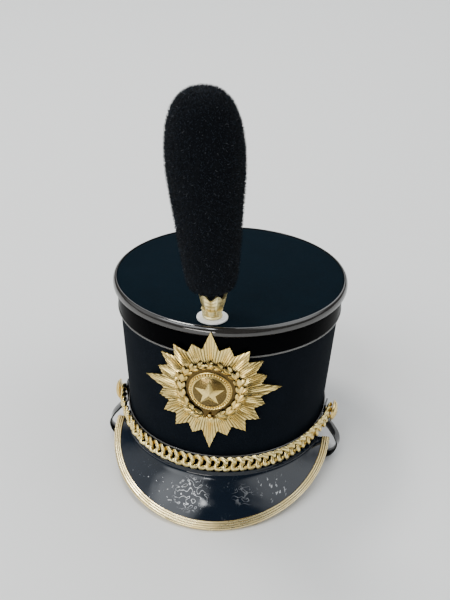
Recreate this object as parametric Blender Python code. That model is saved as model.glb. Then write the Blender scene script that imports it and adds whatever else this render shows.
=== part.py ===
"""A dress shako at its real size, set down on a level surface as it rests by itself.

The hat is modelled upright in its own frame: the crown's lower edge lies at height 0, the front
faces -Y and +X is the wearer's left. It is then tilted back until the peak's edge and the rear of the
crown's lower edge stand on the surface, with the origin under the middle of the whole hat.
Sizes are in metres and angles in degrees. A stand-off is a distance outwards from the crown's cloth.
"""

from math import atan2, ceil, cos, hypot, pi, radians, sin

import bmesh
import bpy
from mathutils import Matrix, Vector

MM = 0.001
CLEARANCE = 0.3 * MM
ROUND_STEPS = 48
CREASE_ANGLE = 35.0

# Crown
CROWN_HEIGHT = 140.0 * MM
BASE_HALF_WIDTH = 85.0 * MM
BASE_HALF_LENGTH = 98.0 * MM
TOP_HALF_WIDTH = 96.6 * MM
TOP_HALF_LENGTH = 98.5 * MM
WALL = 2.5 * MM
TOP_THICKNESS = 2.4 * MM
TOP_OVERHANG = 0.9 * MM

# Patent-leather rim and bands
RIM_HEIGHT = 9.0 * MM
RIM_SHOULDER = 4.0 * MM
BAND_THICKNESS = 1.2 * MM
BEAD_HEIGHT = 1.6 * MM
BEAD_RISE = 0.7 * MM
TOP_BAND_WIDTH = 18.5 * MM
BASE_BAND_WIDTH = 19.5 * MM

# Peak and its gilt binding
PEAK_HALF_WIDTH = 94.5 * MM
PEAK_REACH = 131.0 * MM
PEAK_ENDS_BACK = 26.0 * MM
PEAK_ENDS_HEIGHT = -0.8 * MM
PEAK_DROP = 31.5 * MM
PEAK_SEAM_HEIGHT = -1.0 * MM
PEAK_THICKNESS = 2.0 * MM
PEAK_BULGE = 2.0 * MM
PEAK_FLANGE = 4.5 * MM
PEAK_SEAM_TURN = 75.0
PEAK_STEPS = 30
PEAK_ROWS = (0.16, 0.56, 1.0)
BINDING_WIDTH = 5.8 * MM
BINDING_SHEET = 0.6 * MM

# Side buttons
BUTTON_TURN = 84.0
BUTTON_HEIGHT = 20.0 * MM
BUTTON_DIAMETER = 19.0 * MM
BUTTON_DOME = 3.9 * MM
BUTTON_EDGE = 1.2 * MM
SHANK_DIAMETER = 3.4 * MM
BUTTON_STEPS = 16

# Curb chain
LINK_PITCH = 6.9 * MM
LINK_LENGTH = 9.6 * MM
LINK_WIDTH = 12.4 * MM
LINK_WIRE = 2.2 * MM
LINK_TWIST = 1.4 * MM
LINK_SLANT = 0.16
LINK_STEPS = 10
LINK_SIDES = 5
CHAIN_FRONT_HEIGHT = 13.4 * MM
CHAIN_LINE_STEPS = 400

# Chin strap
STRAP_WIDTH = 12.0 * MM
STRAP_THICKNESS = 1.5 * MM
STRAP_END = 7.0 * MM
STRAP_HOLE_CLEARANCE = 0.6 * MM
STRAP_TUCK_HEIGHT = 8.5 * MM
STRAP_TUCK_BACK = 42.0 * MM
STRAP_TUCK_POINTS = 7
STRAP_TURN_DEPTH = 4.0 * MM
STRAP_STEP = 5.0 * MM
STRAP_TUCK_STEP = 14.0 * MM

# Front plate
PLATE_WIDTH = 118.0 * MM
PLATE_HEIGHT = 110.0 * MM
PLATE_BELOW_TOP = 2.0 * MM
PLATE_THICKNESS = 0.9 * MM
PLATE_RIDGE = 2.0 * MM
PLATE_SPOKES = 40
PLATE_LONG_RAYS = 4
STAR_POINTS = 5
WREATH_RADIUS = 24.0 * MM
WREATH_WIDTH = 7.5 * MM
WREATH_RISE = 2.4 * MM
WREATH_LEAF = 0.75 * MM
BOSS_RADIUS = 15.5 * MM
BOSS_RISE = 4.5 * MM
BOSS_FALL = 2.5 * MM
STAR_RADIUS = 12.0 * MM
STAR_NOTCH_RADIUS = 5.0 * MM
STAR_RISE = 2.2 * MM

# Pompon, its cup and washer
POMPON_FORWARD = 84.5 * MM
POMPON_ASIDE = 2.0 * MM
POMPON_HEIGHT = 168.0 * MM
POMPON_WIDTH = 63.0 * MM
POMPON_LEAN = 3.8
POMPON_LOCKS = 12
LOCK_ROWS = 26
LOCK_DEPTH = 1.5 * MM
CUP_HEIGHT = 22.0 * MM
CUP_TOP_DIAMETER = 21.0 * MM
CUP_FOOT_DIAMETER = 15.6 * MM
CUP_WALL = 1.0 * MM
CUP_LEAVES = 6
CUP_LEAF_DIP = 4.0 * MM
CUP_LEAF_FLARE = 0.8 * MM
CUP_SEAT = 17.0 * MM
NECK_OVER_CUP = 1.0 * MM
WASHER_DIAMETER = 25.0 * MM
WASHER_THICKNESS = 1.5 * MM

# Heights and stand-offs that follow from the sizes above
RIM_FOOT = CROWN_HEIGHT - RIM_HEIGHT
BODY_TOP = CROWN_HEIGHT - TOP_THICKNESS - 2 * CLEARANCE
TOP_SURFACE = BODY_TOP + CLEARANCE + TOP_THICKNESS
PLATE_FOOT = CROWN_HEIGHT - PLATE_BELOW_TOP - PLATE_HEIGHT
BAND_BACK = CLEARANCE
BAND_FACE = BAND_BACK + BAND_THICKNESS
BEAD_FACE = BAND_FACE + BEAD_RISE
RIM_FACE = BAND_FACE + RIM_SHOULDER - BAND_THICKNESS
SEAM_STAND_OFF = BAND_FACE + CLEARANCE + PEAK_THICKNESS / 2
LINK_HALF_DEPTH = LINK_TWIST + LINK_WIRE / 2
STRAP_STAND_OFF = BEAD_FACE + CLEARANCE + STRAP_THICKNESS / 2
STRAP_TUCK_STAND_OFF = -(WALL + 2 * CLEARANCE + STRAP_THICKNESS / 2)
CHAIN_STAND_OFF = BEAD_FACE + CLEARANCE + LINK_HALF_DEPTH
CHAIN_END_STAND_OFF = STRAP_STAND_OFF + STRAP_THICKNESS / 2 + CLEARANCE + LINK_HALF_DEPTH
BUTTON_BACK = CHAIN_END_STAND_OFF + LINK_HALF_DEPTH + CLEARANCE
SHANK_END = BEAD_FACE + CLEARANCE

# The chain's line: turn from the front as a share of the buttons' turn, height as a share of the way
# up from the chain's front height to the buttons, stand-off as a share of the way out to its end.
CHAIN_LINE = (
    # turn, height, stand-off
    (0.00, 0.00, 0.0),
    (0.30, 0.00, 0.0),
    (0.50, 0.08, 0.0),
    (0.64, 0.32, 0.0),
    (0.76, 0.60, 0.1),
    (0.85, 0.80, 0.7),
    (0.93, 0.93, 1.0),
    (1.00, 1.00, 1.0),
)

# The chin strap's chosen points, in millimetres from the button's place on the crown: along the
# crown towards the back, stand-off from the cloth, height over the crown's lower edge.
STRAP_LOOP = (
    # back, stand-off, height
    (-0.8, 5.8, 8.4),
    (-2.4, 11.8, 3.4),
    (-5.4, 17.6, -2.4),
    (-9.6, 19.2, -8.4),
    (-14.4, 15.0, -13.6),
    (-17.4, 7.2, -15.5),
    (-17.0, -0.8, -14.1),
    (-11.6, -5.4, -10.0),
    (-2.0, -6.0, -4.6),
    (12.0, -5.4, 0.8),
    (28.0, -4.6, 4.8),
)

# The plate's ray lengths as shares of its half size, from a long ray's middle to half-way to the next.
RAY_LENGTHS = (1.0, 0.70, 0.80, 0.68, 0.86, 0.70)

# The pompon's outline: height as a share of its own, radius as a share of its widest.
POMPON_OUTLINE = (
    # height, radius
    (0.030, 0.400),
    (0.070, 0.640),
    (0.160, 0.735),
    (0.270, 0.810),
    (0.390, 0.870),
    (0.510, 0.943),
    (0.630, 1.000),
    (0.750, 0.995),
    (0.860, 0.900),
    (0.945, 0.690),
    (0.990, 0.330),
    (1.000, 0.000),
)


def crown_half_axes(height):
    """Half width and half length of the crown's cloth at a height."""
    share = height / CROWN_HEIGHT
    half_width = BASE_HALF_WIDTH + (TOP_HALF_WIDTH - BASE_HALF_WIDTH) * share
    half_length = BASE_HALF_LENGTH + (TOP_HALF_LENGTH - BASE_HALF_LENGTH) * share
    return half_width, half_length


def on_crown(turn, height, stand_off=0.0):
    """Point off the crown's cloth at a turn in radians from the front, positive towards +X."""
    half_width, half_length = crown_half_axes(height)
    return Vector(((half_width + stand_off) * sin(turn), -(half_length + stand_off) * cos(turn), height))


def crown_axes(turn, height):
    """Unit vectors along the crown's ring (growing turn) and square out from its flaring wall."""
    step = 1e-4
    along = (on_crown(turn + step, height) - on_crown(turn - step, height)).normalized()
    up = on_crown(turn, height + MM) - on_crown(turn, height - MM)
    return along, along.cross(up).normalized()


def between(table, share):
    """Row of a table of shares at a share of its first column, smoothly between its rows."""
    last = len(table) - 1
    index = max(i for i in range(last) if table[i][0] <= share or i == 0)
    before, start, end, after = (table[min(max(index + k, 0), last)] for k in (-1, 0, 1, 2))
    t = min(max((share - start[0]) / (end[0] - start[0]), 0.0), 1.0)
    result = []
    for column in range(1, len(start)):
        slopes = []
        for low, middle, high in ((before, start, end), (start, end, after)):
            span = high[0] - low[0]
            slopes.append((high[column] - low[column]) / span if span else 0.0)
        width = end[0] - start[0]
        a, b = start[column], end[column]
        result.append(
            a * (2 * t**3 - 3 * t**2 + 1) + b * (3 * t**2 - 2 * t**3)
            + width * (slopes[0] * (t**3 - 2 * t**2 + t) + slopes[1] * (t**3 - t**2))
        )
    return result


def material(name, colour, roughness, metallic=0.0):
    """Principled material in one colour."""
    result = bpy.data.materials.new(name)
    result.use_nodes = True
    shader = result.node_tree.nodes["Principled BSDF"]
    shader.inputs["Base Color"].default_value = (*colour, 1.0)
    shader.inputs["Roughness"].default_value = roughness
    shader.inputs["Metallic"].default_value = metallic
    return result


def new_piece(name, mesh_source, surface):
    """Object with this mesh and material, shaded smooth up to the crease angle."""
    bmesh.ops.recalc_face_normals(mesh_source, faces=mesh_source.faces)
    mesh = bpy.data.meshes.new(name)
    mesh_source.to_mesh(mesh)
    mesh_source.free()
    mesh.materials.append(surface)
    mesh.shade_smooth()
    mesh.set_sharp_from_angle(angle=radians(CREASE_ANGLE))
    piece = bpy.data.objects.new(name, mesh)
    bpy.context.scene.collection.objects.link(piece)
    return piece


def sweep(sections, closed=False):
    """Mesh extruded from section to section, each a closed ring of the same number of points."""
    mesh = bmesh.new()
    ring = [mesh.verts.new(point) for point in sections[0]]
    count = len(ring)
    first = ring
    edges = [mesh.edges.new((ring[i], ring[(i + 1) % count])) for i in range(count)]
    for section in sections[1:]:
        fresh = bmesh.ops.extrude_edge_only(mesh, edges=edges)["geom"]
        fresh_verts = {item for item in fresh if isinstance(item, bmesh.types.BMVert)}
        ring = [next(e.other_vert(v) for e in v.link_edges if e.other_vert(v) in fresh_verts) for v in ring]
        for vert, point in zip(ring, section):
            vert.co = point
        edges = [mesh.edges.get((ring[i], ring[(i + 1) % count])) for i in range(count)]
    if closed:
        for i in range(count):
            j = (i + 1) % count
            mesh.faces.new((ring[i], ring[j], first[j], first[i]))
    else:
        mesh.faces.new(first)
        mesh.faces.new(ring)
    return mesh


def spun(outline, steps):
    """Closed mesh turned about Z from an open outline of (radius, height) that ends on the axis."""
    mesh = bmesh.new()
    verts = [mesh.verts.new((radius, 0.0, height)) for radius, height in outline]
    edges = [mesh.edges.new(pair) for pair in zip(verts, verts[1:])]
    bmesh.ops.spin(
        mesh, geom=verts + edges, cent=(0, 0, 0), axis=(0, 0, 1), angle=2 * pi, steps=steps, use_merge=True
    )
    bmesh.ops.remove_doubles(mesh, verts=mesh.verts, dist=MM / 100)
    return mesh


def ring_round_crown(name, outline, surface):
    """Ring of one outline of (stand-off, height) carried right round the crown."""
    turns = [2 * pi * i / ROUND_STEPS for i in range(ROUND_STEPS)]
    sections = [[on_crown(turn, height, stand_off) for stand_off, height in outline] for turn in turns]
    return new_piece(name, sweep(sections, closed=True), surface)


def cut(piece, cutters):
    """Cut each cutter out of a piece and remove the cutters."""
    for cutter in cutters:
        modifier = piece.modifiers.new("cut", "BOOLEAN")
        modifier.operation = "DIFFERENCE"
        modifier.solver = "EXACT"
        modifier.object = cutter
        graph = bpy.context.evaluated_depsgraph_get()
        result = bpy.data.meshes.new_from_object(piece.evaluated_get(graph))
        piece.modifiers.clear()
        piece.data = result
        bpy.data.objects.remove(cutter, do_unlink=True)
    piece.data.shade_smooth()
    piece.data.set_sharp_from_angle(angle=radians(CREASE_ANGLE))
    return piece


def make_crown(cloth):
    """Hollow side wall, open above and below, and the flat top that lies on its upper edge."""
    wall = [(-WALL, 0.0), (0.0, 0.0), (0.0, BODY_TOP), (-WALL, BODY_TOP)]
    body = ring_round_crown("crown_body", wall, cloth)
    low = BODY_TOP + CLEARANCE
    half_width, half_length = crown_half_axes(CROWN_HEIGHT)
    reach = TOP_OVERHANG - CLEARANCE
    disc = bmesh.new()
    bmesh.ops.create_circle(disc, cap_ends=True, segments=ROUND_STEPS, radius=1.0)
    lower = list(disc.faces)
    raised = bmesh.ops.extrude_face_region(disc, geom=lower)["geom"]
    raised = [item for item in raised if isinstance(item, bmesh.types.BMVert)]
    bmesh.ops.translate(disc, verts=raised, vec=(0, 0, TOP_THICKNESS))
    bmesh.ops.scale(disc, verts=disc.verts, vec=(half_width + reach, half_length + reach, 1.0))
    bmesh.ops.translate(disc, verts=disc.verts, vec=(0, 0, low))
    return [body, new_piece("crown_top", disc, cloth)]


def make_rim_and_bands(patent):
    """Rounded rim over the top edge, the band under it and the band at the crown's foot."""
    foot = RIM_FOOT + CLEARANCE
    over = CROWN_HEIGHT + CLEARANCE
    rise = over - foot
    rim = [
        (BAND_BACK, foot),
        (BAND_FACE, foot),
        (RIM_FACE, foot + 0.30 * rise),
        (RIM_FACE - 0.06 * RIM_SHOULDER, foot + 0.68 * rise),
        (BAND_FACE + 0.42 * (RIM_FACE - BAND_FACE), foot + 0.93 * rise),
        (TOP_OVERHANG, over),
        (TOP_OVERHANG, BODY_TOP),
        (BAND_BACK, BODY_TOP - CLEARANCE),
    ]
    band_low = RIM_FOOT - TOP_BAND_WIDTH
    top_band = [
        (BAND_BACK, band_low),
        (BEAD_FACE, band_low + 0.5 * BEAD_HEIGHT),
        (BAND_FACE, band_low + BEAD_HEIGHT),
        (BAND_FACE, RIM_FOOT),
        (BAND_BACK, RIM_FOOT),
    ]
    base_band = [
        (BAND_BACK, 0.0),
        (BAND_FACE, 0.0),
        (BAND_FACE, BASE_BAND_WIDTH - BEAD_HEIGHT),
        (BEAD_FACE, BASE_BAND_WIDTH - 0.5 * BEAD_HEIGHT),
        (BAND_BACK, BASE_BAND_WIDTH),
    ]
    outlines = {"top_rim": rim, "top_band": top_band, "base_band": base_band}
    return [ring_round_crown(name, outline, patent) for name, outline in outlines.items()]


def peak_edge_point(turn):
    """Point on the peak's free edge, a half ellipse in a sloping plane."""
    forward = cos(turn)
    reach = PEAK_REACH - PEAK_ENDS_BACK
    fall = PEAK_ENDS_HEIGHT + PEAK_DROP
    return Vector((
        PEAK_HALF_WIDTH * sin(turn),
        -PEAK_ENDS_BACK - reach * forward,
        PEAK_ENDS_HEIGHT - fall * forward,
    ))


def peak_section(share):
    """Seam point, edge point, run of the edge and face normal at a share of -1 to 1 across."""
    seam = on_crown(radians(PEAK_SEAM_TURN) * share, 0.0, SEAM_STAND_OFF)
    seam.z = PEAK_SEAM_HEIGHT
    turn = pi / 2 * share
    edge = peak_edge_point(turn)
    along = (peak_edge_point(turn + 1e-3) - peak_edge_point(turn - 1e-3)).normalized()
    normal = along.cross(edge - seam).normalized()
    return seam, edge, along, -normal if normal.z < 0 else normal


def peak_surface(share, across, lift):
    """Point on the peak a share of the way from seam to edge, lifted off its middle surface."""
    seam, edge, along, normal = peak_section(share)
    narrowing = (edge - seam).length / hypot(PEAK_REACH - BASE_HALF_LENGTH, PEAK_DROP)
    bulge = PEAK_BULGE * 4 * across * (1 - across) * narrowing**2
    return seam.lerp(edge, across) + normal * (bulge + lift)


def binding_line(share):
    """How far across the peak the binding's inner edge lies, as a share of the way from the seam."""
    seam, edge, along, normal = peak_section(share)
    return 1 - BINDING_WIDTH / (edge - seam).length


def past_peak_edge(share, out, up):
    """Point a distance past the peak's free edge, or back from it on the peak, lifted off its middle."""
    seam, edge, along, normal = peak_section(share)
    if out <= 0:
        return peak_surface(share, 1 + out / (edge - seam).length, up)
    outwards = (edge - peak_surface(share, binding_line(share), 0.0)).normalized()
    return edge + outwards * out + normal * up


def split_short(mesh):
    """Split twisted faces across their shorter diagonal, so that parallel skins keep their gap."""
    bmesh.ops.triangulate(mesh, faces=mesh.faces, quad_method="SHORT_EDGE")
    return mesh


def make_peak(patent):
    """Peak with a flange turned up against the base band."""
    half = PEAK_THICKNESS / 2
    sections = []
    for i in range(PEAK_STEPS + 1):
        share = 2 * i / PEAK_STEPS - 1
        turn = radians(PEAK_SEAM_TURN) * share
        outer = [on_crown(turn, height, SEAM_STAND_OFF + half) for height in (PEAK_FLANGE, 0.0)]
        inner = [on_crown(turn, height, SEAM_STAND_OFF - half) for height in (PEAK_FLANGE, 0.0)]
        outer[1].z = PEAK_SEAM_HEIGHT + 1.6 * half
        inner[1].z = PEAK_SEAM_HEIGHT - half
        rows = [row * binding_line(share) for row in PEAK_ROWS] + [1.0]
        upper = outer + [peak_surface(share, row, half) for row in rows]
        lower = inner + [peak_surface(share, row, -half) for row in rows]
        sections.append(upper + lower[::-1])
    return [new_piece("peak", split_short(sweep(sections)), patent)]


def make_peak_edge(gilt):
    """Ribbed gilt strip folded over the peak's free edge."""
    slot = PEAK_THICKNESS / 2 + CLEARANCE
    outer = slot + BINDING_SHEET
    outline = [
        (-BINDING_WIDTH, slot),
        (-BINDING_WIDTH, outer),
        (0.0, outer + 0.4 * BINDING_SHEET),
        (1.5 * CLEARANCE + 1.5 * BINDING_SHEET, 0.55 * outer),
        (1.5 * CLEARANCE + 1.5 * BINDING_SHEET, -0.55 * outer),
        (0.0, -outer - 0.4 * BINDING_SHEET),
        (-BINDING_WIDTH, -outer),
        (-BINDING_WIDTH, -slot),
        (1.5 * CLEARANCE, -slot),
        (1.5 * CLEARANCE, slot),
    ]
    sections = []
    for i in range(PEAK_STEPS + 1):
        share = 2 * i / PEAK_STEPS - 1
        sections.append([past_peak_edge(share, out, up) for out, up in outline])
    return [new_piece("peak_edge", split_short(sweep(sections)), gilt)]


def button_frame(side):
    """Matrix that sets +Z straight out from the crown's cloth at a side button."""
    turn = radians(BUTTON_TURN) * side
    along, out = crown_axes(turn, BUTTON_HEIGHT)
    up = out.cross(along)
    place = on_crown(turn, BUTTON_HEIGHT)
    return Matrix.Translation(place) @ Matrix((along, up, out)).transposed().to_4x4()


def make_buttons(gilt):
    """Domed side buttons, each on a shank that holds the chain and the strap."""
    radius = BUTTON_DIAMETER / 2
    shank = SHANK_DIAMETER / 2
    back = BUTTON_BACK
    brim = back + BUTTON_EDGE
    outline = [(0.0, SHANK_END), (shank, SHANK_END), (shank, back), (0.9 * radius, back)]
    outline += [(radius, back + 0.5 * BUTTON_EDGE)]
    for lift in (0.0, 22.0, 45.0, 68.0):
        outline.append((0.96 * radius * cos(radians(lift)), brim + BUTTON_DOME * sin(radians(lift))))
    outline.append((0.0, brim + BUTTON_DOME))
    pieces = []
    for name, side in (("button_left", 1), ("button_right", -1)):
        mesh = spun(outline, BUTTON_STEPS)
        bmesh.ops.transform(mesh, matrix=button_frame(side), verts=mesh.verts)
        pieces.append(new_piece(name, mesh, gilt))
    return pieces


def chain_point(share):
    """Point of the chain's line and the way out from the crown there, at a share of -1 to 1."""
    height_share, out_share = between(CHAIN_LINE, abs(share))
    turn = radians(BUTTON_TURN) * share
    height = CHAIN_FRONT_HEIGHT + (BUTTON_HEIGHT - CHAIN_FRONT_HEIGHT) * height_share
    stand_off = CHAIN_STAND_OFF + (CHAIN_END_STAND_OFF - CHAIN_STAND_OFF) * out_share
    place = on_crown(turn, height)
    out = crown_axes(turn, height)[1]
    return place + out * stand_off, out


def link_sections(centre, along, up, out):
    """Rings of wire round one twisted curb link."""
    def wire_centre(angle):
        across = LINK_WIDTH / 2 * sin(angle)
        length = LINK_LENGTH / 2 * cos(angle) + LINK_SLANT * across
        depth = LINK_TWIST * sin(2 * angle)
        return centre + along * length + up * across + out * depth

    sections = []
    for i in range(LINK_STEPS):
        angle = 2 * pi * (i + 0.5) / LINK_STEPS
        middle = wire_centre(angle)
        run = (wire_centre(angle + 0.01) - wire_centre(angle - 0.01)).normalized()
        side = run.cross(out).normalized()
        face = side.cross(run)
        ring = []
        for k in range(LINK_SIDES):
            roll = 2 * pi * k / LINK_SIDES
            ring.append(middle + (side * cos(roll) + face * sin(roll)) * LINK_WIRE / 2)
        sections.append(ring)
    return sections


def link_places():
    """Centre and directions of each link, equally spaced so that the shanks pass the end links."""
    fine = CHAIN_LINE_STEPS
    line = [chain_point(2 * i / fine - 1)[0] for i in range(fine + 1)]
    lengths = [0.0]
    for start, end in zip(line, line[1:]):
        lengths.append(lengths[-1] + (end - start).length)
    inset = (LINK_LENGTH - LINK_PITCH) / 2
    run = lengths[-1] - 2 * inset
    links = round(run / LINK_PITCH) + 1
    places = []
    near = 0
    for index in range(links):
        wanted = inset + run * index / (links - 1)
        while lengths[near + 1] < wanted:
            near += 1
        part = (wanted - lengths[near]) / (lengths[near + 1] - lengths[near])
        centre, out = chain_point(2 * (near + part) / fine - 1)
        along = (line[min(near + 2, fine)] - line[max(near - 1, 0)]).normalized()
        out = (out - along * out.dot(along)).normalized()
        places.append((centre, along, out.cross(along), out))
    return places


def fuse_links(mesh, earlier, later, place):
    """Solder two links where their wires pass closest near a place: a short neck between two faces."""
    pairs = []
    for a in earlier:
        for b in later:
            middle = (a.calc_center_median() + b.calc_center_median()) / 2
            if (middle - place).length < LINK_WIRE:
                distance = (a.calc_center_median() - b.calc_center_median()).length
                pairs.append((distance + LINK_WIRE * (1 + a.normal.dot(b.normal)), a, b))
    a, b = min(pairs, key=lambda pair: pair[0])[1:]
    edges = list(a.edges) + list(b.edges)
    earlier.remove(a)
    later.remove(b)
    bmesh.ops.delete(mesh, geom=[a, b], context="FACES_ONLY")
    bmesh.ops.bridge_loops(mesh, edges=edges)


def make_chain(gilt):
    """Curb chain from button to button, each link soldered to the next where they cross."""
    mesh = bmesh.new()
    places = link_places()
    links = []
    for place in places:
        link = sweep(link_sections(*place), closed=True)
        bmesh.ops.recalc_face_normals(link, faces=link.faces)
        loose = bpy.data.meshes.new("link")
        link.to_mesh(loose)
        link.free()
        known = set(mesh.faces)
        mesh.from_mesh(loose)
        links.append([face for face in mesh.faces if face not in known])
        bpy.data.meshes.remove(loose)
    mesh.normal_update()
    for index in range(len(links) - 1):
        middle = (places[index][0] + places[index + 1][0]) / 2
        up = places[index][2]
        rise = LINK_WIDTH / 2 * (1 - (LINK_PITCH / LINK_LENGTH) ** 2) ** 0.5
        fuse_links(mesh, links[index], links[index + 1], middle + up * rise)
    return [new_piece("chain", mesh, gilt)]


def strap_route():
    """Points down the middle of the chin strap from one button to the other, through the hat."""
    button_turn = radians(BUTTON_TURN)
    ring_radius = crown_half_axes(0.0)[1]
    side = []
    for height in (BUTTON_HEIGHT + STRAP_END, BUTTON_HEIGHT, BUTTON_HEIGHT - STRAP_END):
        side.append((0.0, STRAP_STAND_OFF, height))
    side += [tuple(value * MM for value in row) for row in STRAP_LOOP]
    side.append((STRAP_TUCK_BACK, STRAP_TUCK_STAND_OFF, STRAP_TUCK_HEIGHT - MM))
    points = []
    for back, stand_off, height in side:
        points.append((button_turn + back / ring_radius, stand_off, height))
    tuck_turn = points[-1][0]
    for i in range(STRAP_TUCK_POINTS):
        turn = tuck_turn + 2 * (pi - tuck_turn) * (i + 1) / (STRAP_TUCK_POINTS + 1)
        points.append((turn, STRAP_TUCK_STAND_OFF, STRAP_TUCK_HEIGHT))
    for turn, stand_off, height in points[:len(side)][::-1]:
        points.append((2 * pi - turn, stand_off, height))
    return points


def smooth_route(points):
    """Places along a smooth line through (turn, stand-off, height) points, closer in the loops."""
    places = []
    for i in range(len(points) - 1):
        before, start, end, after = (points[min(max(i + k, 0), len(points) - 1)] for k in (-1, 0, 1, 2))
        chord = (strap_place(end) - strap_place(start)).length
        tucked = min(start[2], end[2]) > STRAP_TUCK_HEIGHT - 2 * MM and max(start[1], end[1]) < 0
        count = max(1, ceil(chord / (STRAP_TUCK_STEP if tucked else STRAP_STEP)))
        for k in range(count):
            t = k / count
            places.append(tuple(
                b + 0.5 * t * ((c - a) + t * ((2 * a - 5 * b + 4 * c - d) + t * (3 * (b - c) + d - a)))
                for a, b, c, d in zip(before, start, end, after)
            ))
    places.append(points[-1])
    return places


def strap_place(point):
    """World place of a (turn, stand-off, height) point."""
    turn, stand_off, height = point
    level = max(height, 0.0)
    place = on_crown(turn, level) + crown_axes(turn, level)[1] * stand_off
    place.z = height
    return place


def make_strap(patent):
    """Leather chin strap: a loop below each button, tucked round the inside of the crown's back."""
    places = smooth_route(strap_route())
    centres = [strap_place(point) for point in places]
    last = len(centres) - 1
    total = 0.0
    sections = []
    previous = None
    for i, (point, centre) in enumerate(zip(places, centres)):
        along = (centres[min(i + 1, last)] - centres[max(i - 1, 0)]).normalized()
        ring, out = crown_axes(point[0], 0.0)
        inside = min(max(-point[1] / STRAP_TURN_DEPTH, 0.0), 1.0)
        hanging = ring - along * ring.dot(along)
        tucked = along.cross(out)
        tucked = -tucked if tucked.dot(hanging) < 0 else tucked
        across = (hanging * (1 - inside) + tucked * inside).normalized()
        if previous and across.dot(previous) < 0:
            across = -across
        previous = across
        face = along.cross(across).normalized()
        half, thick = across * STRAP_WIDTH / 2, face * STRAP_THICKNESS / 2
        sections.append([
            centre + half + thick, centre - half + thick, centre - half - thick, centre + half - thick,
        ])
        total += (centre - centres[max(i - 1, 0)]).length
    strap = new_piece("chin_strap", sweep(sections), patent)
    holes = []
    radius = SHANK_DIAMETER / 2 + STRAP_HOLE_CLEARANCE
    for side in (1, -1):
        hole = bmesh.new()
        bmesh.ops.create_cone(
            hole, cap_ends=True, segments=10, depth=4 * STRAP_THICKNESS, radius1=radius, radius2=radius,
        )
        place = button_frame(side) @ Matrix.Translation((0, 0, STRAP_STAND_OFF))
        bmesh.ops.transform(hole, matrix=place, verts=hole.verts)
        holes.append(new_piece("strap_hole", hole, patent))
    print("chin strap length in mm:", round(total / MM))
    return [cut(strap, holes)]


def plate_stand_off(height):
    """How far the plate's back stands off the cloth: close at its foot, clear of the rim above."""
    low = 4 * CLEARANCE
    high = RIM_FACE + CLEARANCE
    share = (height - PLATE_FOOT) / (CROWN_HEIGHT - PLATE_FOOT)
    return low + (high - low) * share


def bend_to_crown(mesh):
    """Bend a flat plate, drawn in X and Y with its face to +Z, round the front of the crown."""
    middle = PLATE_FOOT + PLATE_HEIGHT / 2
    for vert in mesh.verts:
        height = middle + vert.co.y
        half_width, half_length = crown_half_axes(height)
        turn = vert.co.x / ((half_width + half_length) / 2)
        out = crown_axes(turn, height)[1]
        vert.co = on_crown(turn, height) + out * (plate_stand_off(height) + vert.co.z)


def star_reach(angle, points, outer, inner):
    """Distance to the outline of a star with straight sides, one point at angle 0."""
    half = pi / points
    turn = abs((angle + half) % (2 * half) - half)
    tip = Vector((outer, 0))
    notch = Vector((inner * cos(half), inner * sin(half)))
    side = notch - tip
    return (tip.x * side.y) / (cos(turn) * side.y - sin(turn) * side.x)


def ray_length(spoke):
    """Length of the plate's rays as a share of its half size, notched between the rays."""
    sector = PLATE_SPOKES // PLATE_LONG_RAYS
    offset = spoke % sector
    offset = min(offset, sector - offset)
    return RAY_LENGTHS[offset]


def plate_ring(reach, height):
    """Ring of points, one on each spoke, from two functions of (spoke, angle)."""
    ring = []
    for spoke in range(PLATE_SPOKES):
        angle = 2 * pi * spoke / PLATE_SPOKES
        radius = reach(spoke, angle)
        ring.append(Vector((radius * sin(angle), radius * cos(angle), height(spoke, angle))))
    return ring


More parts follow.
